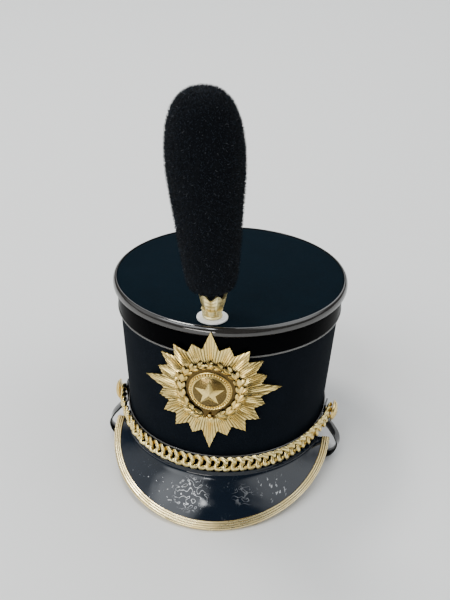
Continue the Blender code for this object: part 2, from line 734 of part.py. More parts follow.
def make_front_plate(gilt):
    """Gilt front plate: fluted rays, a laurel wreath and a domed boss with a five-pointed star."""
    def flute(spoke):
        return PLATE_RIDGE if spoke % 2 == 0 else 0.0

    def ray_reach(share):
        def reach(spoke, angle):
            across, tall = PLATE_WIDTH / 2 * sin(angle), PLATE_HEIGHT / 2 * cos(angle)
            inner = WREATH_RADIUS + WREATH_WIDTH / 2
            tip = hypot(across, tall) * ray_length(spoke)
            return inner + (tip - inner) * share
        return reach

    def level(height):
        return lambda spoke, angle: height

    def round_ring(radius):
        return lambda spoke, angle: radius

    def leafy(radius):
        return lambda spoke, angle: radius + WREATH_LEAF * (1 if spoke % 2 else -1)

    ground = PLATE_THICKNESS + 0.5 * PLATE_RIDGE
    dome = ground + BOSS_RISE
    wreath_in, wreath_out = WREATH_RADIUS - WREATH_WIDTH / 2, WREATH_RADIUS + WREATH_WIDTH / 2
    star = plate_ring(
        lambda spoke, angle: star_reach(angle, STAR_POINTS, STAR_RADIUS, STAR_NOTCH_RADIUS), level(dome)
    )
    for point in star:
        point.z -= BOSS_FALL * (point.xy.length / BOSS_RADIUS) ** 2
    front = [
        star,
        plate_ring(round_ring(0.86 * BOSS_RADIUS), level(ground + 0.50 * BOSS_RISE)),
        plate_ring(round_ring(BOSS_RADIUS), level(ground)),
        plate_ring(leafy(wreath_in), level(ground)),
        plate_ring(
            leafy(WREATH_RADIUS),
            lambda spoke, angle: ground + WREATH_RISE * (1.0 if spoke % 2 else 0.62),
        ),
        plate_ring(ray_reach(0.0), level(ground)),
        plate_ring(ray_reach(0.5), lambda spoke, angle: PLATE_THICKNESS + flute(spoke)),
        plate_ring(ray_reach(1.0), lambda spoke, angle: PLATE_THICKNESS + 0.3 * flute(spoke)),
    ]
    back = [
        plate_ring(ray_reach(1.0), level(0.0)),
        plate_ring(round_ring(wreath_out), level(0.0)),
        plate_ring(round_ring(0.5 * wreath_out), level(0.0)),
    ]
    mesh = sweep(front + back)
    ends = [face for face in mesh.faces if len(face.verts) == PLATE_SPOKES]
    for centre in bmesh.ops.poke(mesh, faces=ends)["verts"]:
        centre.co = Vector((0, 0, dome + STAR_RISE if centre.co.z > PLATE_THICKNESS else 0.0))
    bend_to_crown(mesh)
    return [new_piece("front_plate", mesh, gilt)]


def make_pompon(wool, gilt, white):
    """Wool pompon in staggered locks on one head, its gilt cup and the washer under it."""
    stand = Vector((-POMPON_ASIDE, -POMPON_FORWARD, TOP_SURFACE + CLEARANCE))
    washer = bmesh.new()
    bmesh.ops.create_cone(
        washer, cap_ends=True, segments=20, depth=WASHER_THICKNESS,
        radius1=WASHER_DIAMETER / 2, radius2=WASHER_DIAMETER / 2,
    )
    bmesh.ops.translate(washer, verts=washer.verts, vec=stand + Vector((0, 0, WASHER_THICKNESS / 2)))

    foot = WASHER_THICKNESS + CLEARANCE
    low, high = CUP_FOOT_DIAMETER / 2, CUP_TOP_DIAMETER / 2
    cup_outline = [
        (0.0, foot),
        (low, foot),
        (0.94 * low, foot + 0.14 * CUP_HEIGHT),
        (0.98 * high, foot + 0.62 * CUP_HEIGHT),
        (high, foot + CUP_HEIGHT),
        (high - CUP_WALL, foot + CUP_HEIGHT),
        (0.98 * high - CUP_WALL, foot + 0.62 * CUP_HEIGHT),
        (0.94 * low - CUP_WALL, foot + 2 * CUP_WALL),
        (0.0, foot + 2 * CUP_WALL),
    ]
    cup = spun(cup_outline, 3 * CUP_LEAVES)
    lip = foot + CUP_HEIGHT
    for vert in cup.verts:
        radius = hypot(vert.co.x, vert.co.y)
        if vert.co.z > lip - MM / 100:
            angle = atan2(vert.co.x, vert.co.y)
            leaf = cos(CUP_LEAVES * angle)
            vert.co.z += CUP_LEAF_DIP * (leaf - 1) / 2
            flare = 1 + CUP_LEAF_FLARE * (leaf + 1) / 2 / radius
            vert.co.x *= flare
            vert.co.y *= flare
    bmesh.ops.translate(cup, verts=cup.verts, vec=stand)

    steps = 2 * POMPON_LOCKS
    neck_radius = high - CUP_WALL - 2 * CLEARANCE
    neck = CUP_HEIGHT - CUP_SEAT + NECK_OVER_CUP
    outline = [(0.0, 0.0), (neck_radius, 0.0), (neck_radius, neck)]
    for row in range(LOCK_ROWS):
        share = (neck + (POMPON_HEIGHT - neck) * row / LOCK_ROWS) / POMPON_HEIGHT
        outline.append((between(POMPON_OUTLINE, share)[0] * POMPON_WIDTH / 2, share * POMPON_HEIGHT))
    outline[3] = (outline[3][0], neck + MM / 2)
    outline.append((0.0, POMPON_HEIGHT))
    heights = [height for radius, height in outline[3:-1]]
    head = spun(outline, steps)
    bmesh.ops.recalc_face_normals(head, faces=head.faces)
    head.normal_update()
    moves = []
    for vert in head.verts:
        row = min(range(len(heights)), key=lambda i: abs(heights[i] - vert.co.z))
        if abs(heights[row] - vert.co.z) > MM / 100:
            continue
        column = round(atan2(vert.co.y, vert.co.x) / (2 * pi / steps))
        push = LOCK_DEPTH / 2 * (1 if (row + column) % 2 == 0 else -1)
        outwards = vert.normal if row else Vector((vert.co.x, vert.co.y, 0)).normalized()
        moves.append((vert, vert.co + outwards * push))
    for vert, place in moves:
        vert.co = place
    lean = Matrix.Rotation(radians(-POMPON_LEAN), 4, "Y")
    seat = stand + Vector((0, 0, foot + CUP_SEAT))
    bmesh.ops.transform(head, matrix=Matrix.Translation(seat) @ lean, verts=head.verts)
    return [
        new_piece("pompon_washer", washer, white),
        new_piece("pompon_cup", cup, gilt),
        new_piece("pompon", head, wool),
    ]


def set_down(pieces):
    """Tilt the hat back on to the surface and centre its box over the origin."""
    rear = BASE_HALF_LENGTH + BAND_FACE
    front = [vert.co for piece in pieces if piece.name == "peak_edge" for vert in piece.data.vertices]
    tilt = max(atan2(-point.z, rear - point.y) for point in front)
    turned = Matrix.Rotation(-tilt, 4, "X")
    corners = [turned @ vert.co for piece in pieces for vert in piece.data.vertices]
    low = [min(corner[axis] for corner in corners) for axis in range(3)]
    high = [max(corner[axis] for corner in corners) for axis in range(3)]
    stand = bpy.data.objects.new("hat", None)
    bpy.context.scene.collection.objects.link(stand)
    stand.rotation_euler = (-tilt, 0, 0)
    stand.location = (-(low[0] + high[0]) / 2, -(low[1] + high[1]) / 2, -low[2])
    for piece in pieces:
        piece.parent = stand


def main():
    for old in list(bpy.data.objects):
        bpy.data.objects.remove(old, do_unlink=True)
    cloth = material("cloth", (0.012, 0.014, 0.018), 0.85)
    patent = material("patent_leather", (0.008, 0.008, 0.010), 0.15)
    gilt = material("gilt", (0.83, 0.66, 0.34), 0.28, 1.0)
    wool = material("wool", (0.010, 0.010, 0.012), 0.95)
    white = material("white_leather", (0.80, 0.79, 0.75), 0.6)
    pieces = make_crown(cloth)
    pieces += make_rim_and_bands(patent)
    pieces += make_peak(patent)
    pieces += make_peak_edge(gilt)
    pieces += make_buttons(gilt)
    pieces += make_chain(gilt)
    pieces += make_strap(patent)
    pieces += make_front_plate(gilt)
    pieces += make_pompon(wool, gilt, white)
    set_down(pieces)


main()
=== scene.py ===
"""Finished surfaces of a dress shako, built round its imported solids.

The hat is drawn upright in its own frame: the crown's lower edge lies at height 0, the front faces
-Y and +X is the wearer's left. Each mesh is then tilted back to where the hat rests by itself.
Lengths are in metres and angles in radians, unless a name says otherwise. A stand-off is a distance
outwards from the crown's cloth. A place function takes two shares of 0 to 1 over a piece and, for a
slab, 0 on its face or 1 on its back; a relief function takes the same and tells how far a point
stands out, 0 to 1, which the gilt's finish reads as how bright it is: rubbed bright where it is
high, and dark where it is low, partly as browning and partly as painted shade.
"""

import logging
from collections.abc import Callable, Sequence
from dataclasses import dataclass, field, replace
from enum import Enum
from math import atan2, ceil, cos, degrees, hypot, pi, radians, sin

import bmesh
import bpy
import numpy as np
from mathutils import Matrix, Vector, noise


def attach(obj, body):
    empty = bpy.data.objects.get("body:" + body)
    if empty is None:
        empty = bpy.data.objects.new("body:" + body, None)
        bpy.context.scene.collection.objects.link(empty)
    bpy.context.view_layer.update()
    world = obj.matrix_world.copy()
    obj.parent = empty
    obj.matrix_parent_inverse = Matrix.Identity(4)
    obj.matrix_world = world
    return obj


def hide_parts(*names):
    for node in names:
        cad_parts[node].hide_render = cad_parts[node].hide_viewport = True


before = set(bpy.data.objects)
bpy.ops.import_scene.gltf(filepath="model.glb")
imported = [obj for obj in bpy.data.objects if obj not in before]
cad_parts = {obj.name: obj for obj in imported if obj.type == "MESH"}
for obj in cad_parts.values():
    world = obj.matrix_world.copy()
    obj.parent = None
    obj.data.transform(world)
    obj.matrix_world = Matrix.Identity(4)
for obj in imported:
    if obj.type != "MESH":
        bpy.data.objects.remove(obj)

MM = 0.001
Colour = tuple[float, float, float]
Point = tuple[float, float]
Place = Callable[[float, float, float], Vector]
Height = Callable[[float, float, float], float]
Shape = bmesh.types.BMesh
Socket = bpy.types.NodeSocket
log = logging.getLogger("shako")


class Slot(Enum):
    """Material slots of the hat's record."""

    CLOTH = "cloth"
    PATENT = "patent_leather"
    GILT = "gilt"
    WOOL = "wool"
    WHITE = "white_leather"


class Side(Enum):
    """Sides of the hat as the wearer has them, by the sign of X."""

    LEFT = 1
    RIGHT = -1


@dataclass(frozen=True)
class CrownForm:
    """Shape of the crown's cloth, which every other piece is set out from."""

    height: float = 140.0 * MM
    base_half_width: float = 85.0 * MM
    base_half_length: float = 98.0 * MM
    top_half_width: float = 96.6 * MM
    top_half_length: float = 98.5 * MM
    wall: float = 2.5 * MM
    top_thickness: float = 2.4 * MM
    top_overhang: float = 0.9 * MM
    clearance: float = 0.3 * MM
    band_thickness: float = 1.2 * MM
    bead_rise: float = 0.7 * MM
    rim_height: float = 9.0 * MM
    rim_shoulder: float = 4.0 * MM

    @property
    def wall_top(self) -> float:
        """Height of the side wall's upper edge."""
        return self.height - self.top_thickness - 2 * self.clearance

    @property
    def top_surface(self) -> float:
        """Height of the flat top's upper face."""
        return self.wall_top + self.clearance + self.top_thickness

    @property
    def band_face(self) -> float:
        """Stand-off of a band's outer face."""
        return self.clearance + self.band_thickness

    @property
    def bead_face(self) -> float:
        """Stand-off of the bead along a band's edge."""
        return self.band_face + self.bead_rise

    @property
    def rim_face(self) -> float:
        """Stand-off of the rim's outer face."""
        return self.band_face + self.rim_shoulder - self.band_thickness

    def half_axes(self, height: float) -> tuple[float, float]:
        """Give the cloth's half width and half length at a height.

        Args:
            height: Height over the crown's foot.

        Returns:
            The half width and the half length.
        """
        share = height / self.height
        half_width = self.base_half_width + (self.top_half_width - self.base_half_width) * share
        half_length = self.base_half_length + (self.top_half_length - self.base_half_length) * share
        return half_width, half_length

    def point(self, turn: float, height: float, stand_off: float = 0.0) -> Vector:
        """Give a point off the cloth.

        Args:
            turn: Angle from the front, growing towards the wearer's left.
            height: Height over the crown's lower edge.
            stand_off: Distance outwards, level with the ring at that height.

        Returns:
            The point in the hat's own frame.
        """
        half_width, half_length = self.half_axes(height)
        across = (half_width + stand_off) * sin(turn)
        return Vector((across, -(half_length + stand_off) * cos(turn), height))

    def axes(self, turn: float, height: float) -> tuple[Vector, Vector]:
        """Give the directions along the ring and square out from the flaring wall.

        Args:
            turn: Angle round the crown from the front.
            height: Height over the crown's foot.

        Returns:
            The direction along the ring and the one square out from the wall.
        """
        step = 1e-4
        along = (self.point(turn + step, height) - self.point(turn - step, height)).normalized()
        up = self.point(turn, height + MM) - self.point(turn, height - MM)
        return along, along.cross(up).normalized()


@dataclass(frozen=True)
class Rest:
    """How the hat stands on the surface by itself."""

    tilt: float = 0.143519
    forward: float = 7.294 * MM
    lift: float = 14.231 * MM

    @property
    def matrix(self) -> Matrix:
        """Turn from the hat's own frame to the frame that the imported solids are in."""
        place = Matrix.Translation((0, self.forward, self.lift))
        return place @ Matrix.Rotation(-self.tilt, 4, "X")


class PaleMarkPattern(Enum):
    """Patterns of pale marks on a lacquered face, for wear and for painted reflections."""

    CURLS = "thin curling cracks"
    SCRATCHES = "short scratches"
    SPECKS = "small pale specks"


@dataclass(frozen=True)
class Mark:
    """A patch of pale marks on a lacquered face, placed in the resting hat's frame."""

    kind: PaleMarkPattern
    place: Vector
    radius: float
    strength: float


def add_node(tree: bpy.types.NodeTree, kind: str, output: str | int,
             inputs: dict[str | int, object], **values: object) -> Socket:
    """Add a node to a tree.

    Args:
        tree: Tree that the node joins.
        kind: Blender's name for the node.
        output: Name or number of the output that is wanted.
        inputs: Values, or sockets to link, by the input that they go to.
        **values: The node's plain properties.

    Returns:
        The wanted output.
    """
    made = tree.nodes.new(kind)
    for name, value in values.items():
        setattr(made, name, value)
    for name, value in inputs.items():
        if isinstance(value, Socket):
            tree.links.new(value, made.inputs[name])
        else:
            made.inputs[name].default_value = value
    return made.outputs[output]


class Recipe:
    """Node tree of one finish, with short calls for the nodes that the finishes share."""

    def __init__(self, name: str, colour: Colour, roughness: float, metallic: float = 0.0) -> None:
        """Start a Principled material.

        Args:
            name: Plain name of the material.
            colour: Base colour, where no pattern feeds it.
            roughness: Roughness, where no pattern feeds it.
            metallic: 1 for a metal, 0 for all else.
        """
        self.material = bpy.data.materials.new(name)
        self.material.use_nodes = True
        self.tree = self.material.node_tree
        self.shader = self.tree.nodes["Principled BSDF"]
        self.bump_normal: Socket | None = None
        self.set("Base Color", (*colour, 1.0))
        self.set("Roughness", roughness)
        self.set("Metallic", metallic)

    def set(self, socket: str, value: float | Sequence[float]) -> None:
        """Set one of the shader's own sockets."""
        self.shader.inputs[socket].default_value = value

    def feed(self, socket: str, source: Socket) -> None:
        """Link a pattern to one of the shader's sockets."""
        self.tree.links.new(source, self.shader.inputs[socket])

    def node(self, kind: str, output: str | int, inputs: dict[str | int, object],
             **values: object) -> Socket:
        """Add a node to this finish and give its wanted output."""
        return add_node(self.tree, kind, output, inputs, **values)

    def place(self, scale: Sequence[float] = (1.0, 1.0, 1.0),
              turn: Sequence[float] = (0.0, 0.0, 0.0)) -> Socket:
        """Give the piece's own coordinates, stretched by a scale along each axis and turned.

        Args:
            scale: Stretch along each axis.
            turn: Angle about each axis.

        Returns:
            The socket of the coordinates.
        """
        own = self.node("ShaderNodeTexCoord", "Object", {})
        inputs = {"Vector": own, "Scale": scale, "Rotation": turn}
        return self.node("ShaderNodeMapping", "Vector", inputs)

    def noise(self, place: Socket, scale: float, detail: float = 2.0,
              distortion: float = 0.0) -> Socket:
        """Give soft noise with this many features a metre."""
        inputs = {"Vector": place, "Scale": scale, "Detail": detail, "Distortion": distortion}
        return self.node("ShaderNodeTexNoise", "Fac", inputs)

    def cells(self, place: Socket, scale: float) -> Socket:
        """Give the distance from the middle of each cell, with this many cells a metre."""
        return self.node("ShaderNodeTexVoronoi", "Distance", {"Vector": place, "Scale": scale})

    def near(self, place: Socket, middle: Vector, radius: float) -> Socket:
        """Give 1 near a point, fading to 0 at a radius from it.

        Args:
            place: Socket of the coordinates.
            middle: The point.
            radius: Where the share has fallen to 0.

        Returns:
            The socket of the share.
        """
        inputs = {0: place, 1: middle}
        away = self.node("ShaderNodeVectorMath", "Value", inputs, operation="DISTANCE")
        return self.between(away, radius, 0.5 * radius)

    def attribute(self, name: str) -> Socket:
        """Give a number that the mesh carries."""
        return self.node("ShaderNodeAttribute", "Fac", {}, attribute_name=name)

    def between(self, value: Socket, low: float, high: float, start: float = 0.0,
                end: float = 1.0) -> Socket:
        """Map a range of a value smoothly to another range, held at its ends.

        Args:
            value: Value to map.
            low: Value that gives the start.
            high: Value that gives the end.
            start: Result at the low value.
            end: Result at the high value.

        Returns:
            The mapped value.
        """
        inputs = {"Value": value, "From Min": low, "From Max": high, "To Min": start, "To Max": end}
        return self.node("ShaderNodeMapRange", "Result", inputs, interpolation_type="SMOOTHSTEP")

    def math(self, operation: str, first: Socket, second: Socket | float = 0.0) -> Socket:
        """Work out a sum, difference or the like."""
        return self.node("ShaderNodeMath", "Value", {0: first, 1: second}, operation=operation)

    def both(self, first: Socket, second: Socket | float) -> Socket:
        """Give the product of two shares."""
        return self.math("MULTIPLY", first, second)

    def mix(self, share: Socket, low: Colour | Socket, high: Colour | Socket) -> Socket:
        """Mix two colours by a share.

        Args:
            share: Socket of 0 for the low colour to 1 for the high.
            low: First colour or its socket.
            high: Second colour or its socket.

        Returns:
            The socket of the mixed colour.
        """
        ends = [(*colour, 1.0) if isinstance(colour, tuple) else colour for colour in (low, high)]
        inputs = {"Factor": share, 6: ends[0], 7: ends[1]}
        return self.node("ShaderNodeMix", 2, inputs, data_type="RGBA")

    def bump(self, height: Socket, depth: float, strength: float = 1.0) -> None:
        """Raise the surface by a pattern, over the bumps that are there already.

        Args:
            height: Pattern of 0 to 1.
            depth: Height that 1 stands for, in metres.
            strength: Share of the bump that is felt.
        """
        inputs = {"Height": height, "Distance": depth, "Strength": strength}
        if self.bump_normal is not None:
            inputs["Normal"] = self.bump_normal
        self.bump_normal = self.node("ShaderNodeBump", "Normal", inputs)
        self.feed("Normal", self.bump_normal)


@dataclass(frozen=True)
class FeltedCloth:
    """Fulled wool cloth with a short nap, a faint mottle and a few specks of lint.

    Here and in the other finishes a name that ends in ``a_metre`` tells how fine a pattern is.
    """

    name: str
    colour: Colour
    raised: Colour
    lint_colour: Colour = (0.06, 0.07, 0.08)
    sheen_tint: Colour = (0.55, 0.75, 1.0)
    sheen: float = 0.006
    lint_size: float = 0.055
    lint_a_metre: float = 420.0
    nap_a_metre: float = 1500.0
    mottle_a_metre: float = 45.0
    fibres_a_metre: float = 2600.0

    def material(self) -> bpy.types.Material:
        """Build the cloth's material.

        Returns:
            The material.
        """
        recipe = Recipe(self.name, self.colour, 0.9)
        place = recipe.place()
        nap = recipe.noise(place, self.nap_a_metre, 4.0)
        mottle = recipe.noise(place, self.mottle_a_metre, 3.0)
        drawn_out = recipe.place(scale=(1.0, 1.0, 0.35), turn=(0.4, 0.2, 0.0))
        fibres = recipe.noise(drawn_out, self.fibres_a_metre, 2.0, 0.6)
        share = recipe.both(recipe.between(nap, 0.35, 0.75), recipe.between(mottle, 0.2, 0.8, 0.5))
        felt = recipe.mix(share, self.colour, self.raised)
        lint = recipe.cells(place, self.lint_a_metre)
        specks = recipe.between(lint, self.lint_size, self.lint_size * 0.6)
        sparse = recipe.between(recipe.noise(place, 160.0), 0.56, 0.62)
        recipe.feed("Base Color", recipe.mix(recipe.both(specks, sparse), felt, self.lint_colour))
        recipe.feed("Roughness", recipe.between(fibres, 0.3, 0.7, 0.82, 0.97))
        recipe.set("Sheen Weight", self.sheen)
        recipe.set("Sheen Roughness", 0.45)
        recipe.set("Sheen Tint", (*self.sheen_tint, 1.0))
        recipe.set("Specular IOR Level", 0.05)
        recipe.bump(nap, 0.35 * MM, 0.55)
        recipe.bump(fibres, 0.12 * MM, 0.4)
        return recipe.material


@dataclass(frozen=True)
class PatentLeather:
    """Black lacquered leather: a soft orange-peel, scuffs where it is handled, and pale marks, some
    of them painted reflections.
    """

    name: str
    colour: Colour = (0.0022, 0.0024, 0.0030)
    pale: Colour = (0.86, 0.88, 0.92)
    dust: Colour = (0.035, 0.038, 0.042)
    scuff: Colour = (0.10, 0.11, 0.12)
    coat_index: float = 1.45
    coat_weight: float = 1.0
    coat_roughness: tuple[float, float] = (0.04, 0.15)
    scuffed: float = 0.0
    scratch_turn: float = 0.9
    marks: Sequence[Mark] = ()

    def material(self) -> bpy.types.Material:
        """Build the leather's material.

        Returns:
            The material.
        """
        recipe = Recipe(self.name, self.colour, 0.4)
        place = recipe.place()
        peel = recipe.noise(place, 260.0, 2.0)
        smear = recipe.noise(place, 38.0, 4.0, 0.8)
        dusty = recipe.between(recipe.noise(place, 2400.0, 2.0), 0.66, 0.78)
        colour = recipe.mix(
            recipe.both(dusty, recipe.between(smear, 0.45, 0.7)), self.colour, self.dust)
        recipe.set("Specular IOR Level", 0.0)
        recipe.set("Coat Weight", self.coat_weight)
        recipe.set("Coat IOR", self.coat_index)
        recipe.feed("Coat Roughness", recipe.between(smear, 0.35, 0.75, *self.coat_roughness))
        recipe.bump(peel, 0.05 * MM, 0.35)
        if self.scuffed:
            streaks = recipe.noise(self.drawn_out(recipe, 0.18), 420.0, 3.0, 1.5)
            handled = recipe.between(smear, 0.5, 0.66)
            pale_mark = recipe.both(recipe.between(streaks, 0.62, 0.70), handled)
            colour = recipe.mix(recipe.both(pale_mark, self.scuffed), colour, self.scuff)
        # Each mark mixes the pale colour in: pale wear, and painted reflections where the peak's
        # lacquer is crazed.
        for mark in self.marks:
            inside = recipe.near(place, mark.place, mark.radius)
            pale_mark = recipe.both(self.pattern(recipe, place, mark.kind), inside)
            recipe.bump(pale_mark, 0.2 * MM, 0.6 * mark.strength)
            colour = recipe.mix(recipe.both(pale_mark, mark.strength), colour, self.pale)
        recipe.feed("Base Color", colour)
        recipe.feed("Coat Normal", recipe.bump_normal)
        return recipe.material

    def drawn_out(self, recipe: Recipe, scale: float) -> Socket:
        """Give coordinates that draw a pattern out into slanting streaks."""
        return recipe.place(scale=(1.0, scale, 1.0), turn=(0.0, 0.0, self.scratch_turn))

    def pattern(self, recipe: Recipe, place: Socket, kind: PaleMarkPattern) -> Socket:
        """Give 1 on the marks of one pattern and 0 between them.

        Args:
            recipe: Finish that the marks belong to.
            place: The piece's own coordinates.
            kind: Pattern of the marks.

        Returns:
            The pattern, all over the piece.
        """
        if kind is PaleMarkPattern.CURLS:
            waves = recipe.noise(place, 145.0, 0.0, 1.6)
            off_crest = recipe.math("ABSOLUTE", recipe.math("SUBTRACT", waves, 0.5))
            return recipe.between(off_crest, 0.048, 0.018)
        if kind is PaleMarkPattern.SCRATCHES:
            streaks = recipe.noise(self.drawn_out(recipe, 0.14), 480.0, 1.0, 0.4)
            return recipe.between(streaks, 0.64, 0.70)
        return recipe.between(recipe.noise(place, 420.0, 1.0), 0.70, 0.74)


@dataclass(frozen=True)
class GiltMetal:
    """Pale gilt brass: bright where it stands out, dark where it lies low, partly browned and
    partly painted shade.
    """

    name: str
    colour: Colour = (0.93, 0.72, 0.27)
    hollow: Colour = (0.060, 0.032, 0.009)
    browned_and_shaded: float = 0.95
    polish: tuple[float, float] = (0.20, 0.38)
    grain: float = 0.35
    warmth: Colour = (0.95, 0.88, 0.72)
    has_relief: bool = False

    def material(self) -> bpy.types.Material:
        """Build the metal's material.

        Returns:
            The material.
        """
        recipe = Recipe(self.name, self.colour, 0.26, 1.0)
        place = recipe.place()
        cloud = recipe.noise(place, 90.0, 4.0, 0.4)
        grain = recipe.noise(place, 1400.0, 3.0)
        warm = tuple(channel * share for channel, share in zip(self.colour, self.warmth))
        colour = recipe.mix(recipe.between(cloud, 0.35, 0.75), self.colour, warm)
        spots = recipe.between(recipe.noise(place, 520.0, 2.0), 0.64, 0.76)
        colour = recipe.mix(recipe.both(spots, 0.45), colour, self.hollow)
        if self.has_relief:
            # Low relief mixes towards the hollow colour: browning in the hollows, and painted shade
            # on backs, undersides, insides and in grooves.
            low = recipe.between(recipe.attribute("relief"), 0.55, 0.02, 0.0, self.browned_and_shaded)
            colour = recipe.mix(low, colour, self.hollow)
        recipe.feed("Base Color", colour)
        recipe.feed("Roughness", recipe.between(cloud, 0.3, 0.7, *self.polish))
        recipe.bump(grain, 0.05 * MM, self.grain)
        recipe.bump(cloud, 0.25 * MM, 0.25)
        return recipe.material


@dataclass(frozen=True)
class CurledWool:
    """Clipped black wool whose locks differ a little in shade."""

    name: str
    colour: Colour = (0.0024, 0.0034, 0.0052)
    tips: Colour = (0.017, 0.024, 0.034)
    pale: Colour = (0.060, 0.066, 0.075)
    fuzz_a_metre: float = 2200.0

    def material(self) -> bpy.types.Material:
        """Build the wool's material.

        Returns:
            The material.
        """
        recipe = Recipe(self.name, self.colour, 1.0)
        fuzz = recipe.noise(recipe.place(), self.fuzz_a_metre, 3.0)
        shade = recipe.attribute("shade")
        wool = recipe.mix(recipe.between(shade, 0.1, 0.9), self.colour, self.tips)
        recipe.feed("Base Color", recipe.mix(recipe.between(shade, 0.955, 0.985), wool, self.pale))
        recipe.set("Specular IOR Level", 0.12)
        recipe.set("Sheen Weight", 0.01)
        recipe.set("Sheen Roughness", 0.6)
        recipe.bump(fuzz, 0.4 * MM, 0.6)
        return recipe.material


@dataclass(frozen=True)
class WhiteLeather:
    """Smooth white leather, a little grey where it has been handled."""

    name: str
    colour: Colour = (0.92, 0.915, 0.89)
    handled: Colour = (0.78, 0.77, 0.73)

    def material(self) -> bpy.types.Material:
        """Build the leather's material.

        Returns:
            The material.
        """
        recipe = Recipe(self.name, self.colour, 0.5)
        place = recipe.place()
        grain = recipe.cells(place, 1500.0)
        grey = recipe.between(recipe.noise(place, 320.0, 3.0), 0.45, 0.75)
        recipe.feed("Base Color", recipe.mix(grey, self.colour, self.handled))
        recipe.bump(grain, 0.1 * MM, 0.4)
        return recipe.material


@dataclass(frozen=True)
class StudioPaper:
    """Plain pale paper that the hat stands on."""

    name: str
    colour: Colour = (0.80, 0.80, 0.79)
    tooth_a_metre: float = 900.0

    def material(self) -> bpy.types.Material:
        """Build the paper's material.

        Returns:
            The material.
        """
        recipe = Recipe(self.name, self.colour, 0.85)
        recipe.set("Specular IOR Level", 0.2)
        recipe.bump(recipe.noise(recipe.place(), self.tooth_a_metre, 2.0), 0.05 * MM, 0.2)
        return recipe.material


def arc(centre: Point, reach: Point, first: float, step: float, count: int) -> list[Point]:
    """Give points along an ellipse.

    Args:
        centre: Middle of the ellipse.
        reach: Half its width and half its height.
        first: Degrees from the first axis to the first point.
        step: Degrees from each point to the next.
        count: How many points.

    Returns:
        The points in order.
    """
    leans = [radians(first + step * index) for index in range(count)]
    return [(centre[0] + reach[0] * cos(lean), centre[1] + reach[1] * sin(lean)) for lean in leans]


def turned(profile: Sequence[Point], steps: int, closed: bool = False,
           rounding: float = 0.0, fine: float = 0.0) -> Shape:
    """Turn a profile about the upright axis.

    Args:
        profile: Points of (radius, height). An open profile starts and ends on the axis.
        steps: Steps in the full turn.
        closed: Whether the profile closes on itself, as a ring's does.
        rounding: Radius given to the corners of a closed profile.
        fine: Longest stretch left undivided along a closed profile, or 0 to leave it.

    Returns:
        A closed shape with its faces pointing out.
    """
    shape = bmesh.new()
    verts = [shape.verts.new((radius, 0.0, height)) for radius, height in profile]
    if closed:
        shape.faces.new(verts)
        if rounding:
            bmesh.ops.bevel(
                shape, geom=list(shape.verts), offset=rounding, offset_type="OFFSET", segments=4,
                profile=0.5, affect="VERTICES", material=-1,
            )
        if fine:
            for edge in list(shape.edges):
                cuts = ceil(edge.calc_length() / fine) - 1
                if cuts > 0:
                    bmesh.ops.subdivide_edges(shape, edges=[edge], cuts=cuts)
        bmesh.ops.delete(shape, geom=list(shape.faces), context="FACES_ONLY")
    else:
        for pair in zip(verts, verts[1:]):
            shape.edges.new(pair)
    bmesh.ops.spin(
        shape, geom=list(shape.verts) + list(shape.edges), cent=(0, 0, 0), axis=(0, 0, 1),
        angle=2 * pi, steps=steps, use_merge=True,
    )
    return sealed(shape)


def moulded(columns: int, rows: int, place: Place, thick: bool = False,
            relief: Height | None = None) -> Shape:
    """Mould a grid, or a slab with two such grids, over a surface.

    Args:
        columns: Faces along the first share.
        rows: Faces along the second share.
        place: Point for two shares of 0 to 1, and 0 on one side of the slab or 1 on the other.
        thick: Whether to make a closed slab.
        relief: How far each point stands out, 0 to 1, for the finish to read.

    Returns:
        The shape, closed where its edges meet.
    """
    shape = bmesh.new()
    layer = shape.verts.layers.float.new("relief") if relief else None
    bmesh.ops.create_grid(shape, x_segments=columns, y_segments=rows, size=0.5)
    if thick:
        raised = bmesh.ops.extrude_face_region(shape, geom=list(shape.faces))["geom"]
        raised = [item for item in raised if isinstance(item, bmesh.types.BMVert)]
        bmesh.ops.translate(shape, verts=raised, vec=(0, 0, 1))
    for vert in shape.verts:
        shares = (vert.co.x + 0.5, vert.co.y + 0.5, vert.co.z)
        vert.co = place(*shares)
        if relief:
            vert[layer] = min(max(relief(*shares), 0.0), 1.0)
    return sealed(shape)


def sealed(shape: Shape, reach: float = 1e-7) -> Shape:
    """Merge the points that meet, fill the open ends and turn the faces out.

    Args:
        shape: The mesh to close.
        reach: How far apart points still meet.

    Returns:
        The same mesh.
    """
    bmesh.ops.remove_doubles(shape, verts=shape.verts, dist=reach)
    ends = [edge for edge in shape.edges if edge.is_boundary]
    if ends:
        bmesh.ops.holes_fill(shape, edges=ends, sides=0)
    bmesh.ops.recalc_face_normals(shape, faces=shape.faces)
    return shape


def joined(shapes: Sequence[Shape]) -> Shape:
    """Put loose shapes in one mesh, with the relief that they carry.

    Args:
        shapes: The loose meshes, which are freed.

    Returns:
        One mesh of them all.
    """
    whole = bmesh.new()
    whole.verts.layers.float.new("relief")
    for shape in shapes:
        loose = bpy.data.meshes.new("loose")
        shape.to_mesh(loose)
        shape.free()
        whole.from_mesh(loose)
        bpy.data.meshes.remove(loose)
    return whole


def smooth_between(table: Sequence[Sequence[float]], share: float) -> list[float]:
    """Read a table of shares at a share of its first column, smoothly between its rows.

    Args:
        table: Rows that begin with a share, in rising order.
        share: Where to read the table.

    Returns:
        The rest of the row at that share.
    """
    last = len(table) - 1
    index = max(i for i in range(last) if table[i][0] <= share or i == 0)
    before, start, end, after = (table[min(max(index + k, 0), last)] for k in (-1, 0, 1, 2))
    width = end[0] - start[0]
    t = min(max((share - start[0]) / width, 0.0), 1.0)
    result = []
    for column in range(1, len(start)):
        slopes = []
        for low, high in ((before, end), (start, after)):
            slopes.append((high[column] - low[column]) / (high[0] - low[0]))
        a, b = start[column], end[column]
        result.append(
            a * (2 * t**3 - 3 * t**2 + 1) + b * (3 * t**2 - 2 * t**3)
            + width * (slopes[0] * (t**3 - 2 * t**2 + t) + slopes[1] * (t**3 - t**2))
        )
    return result


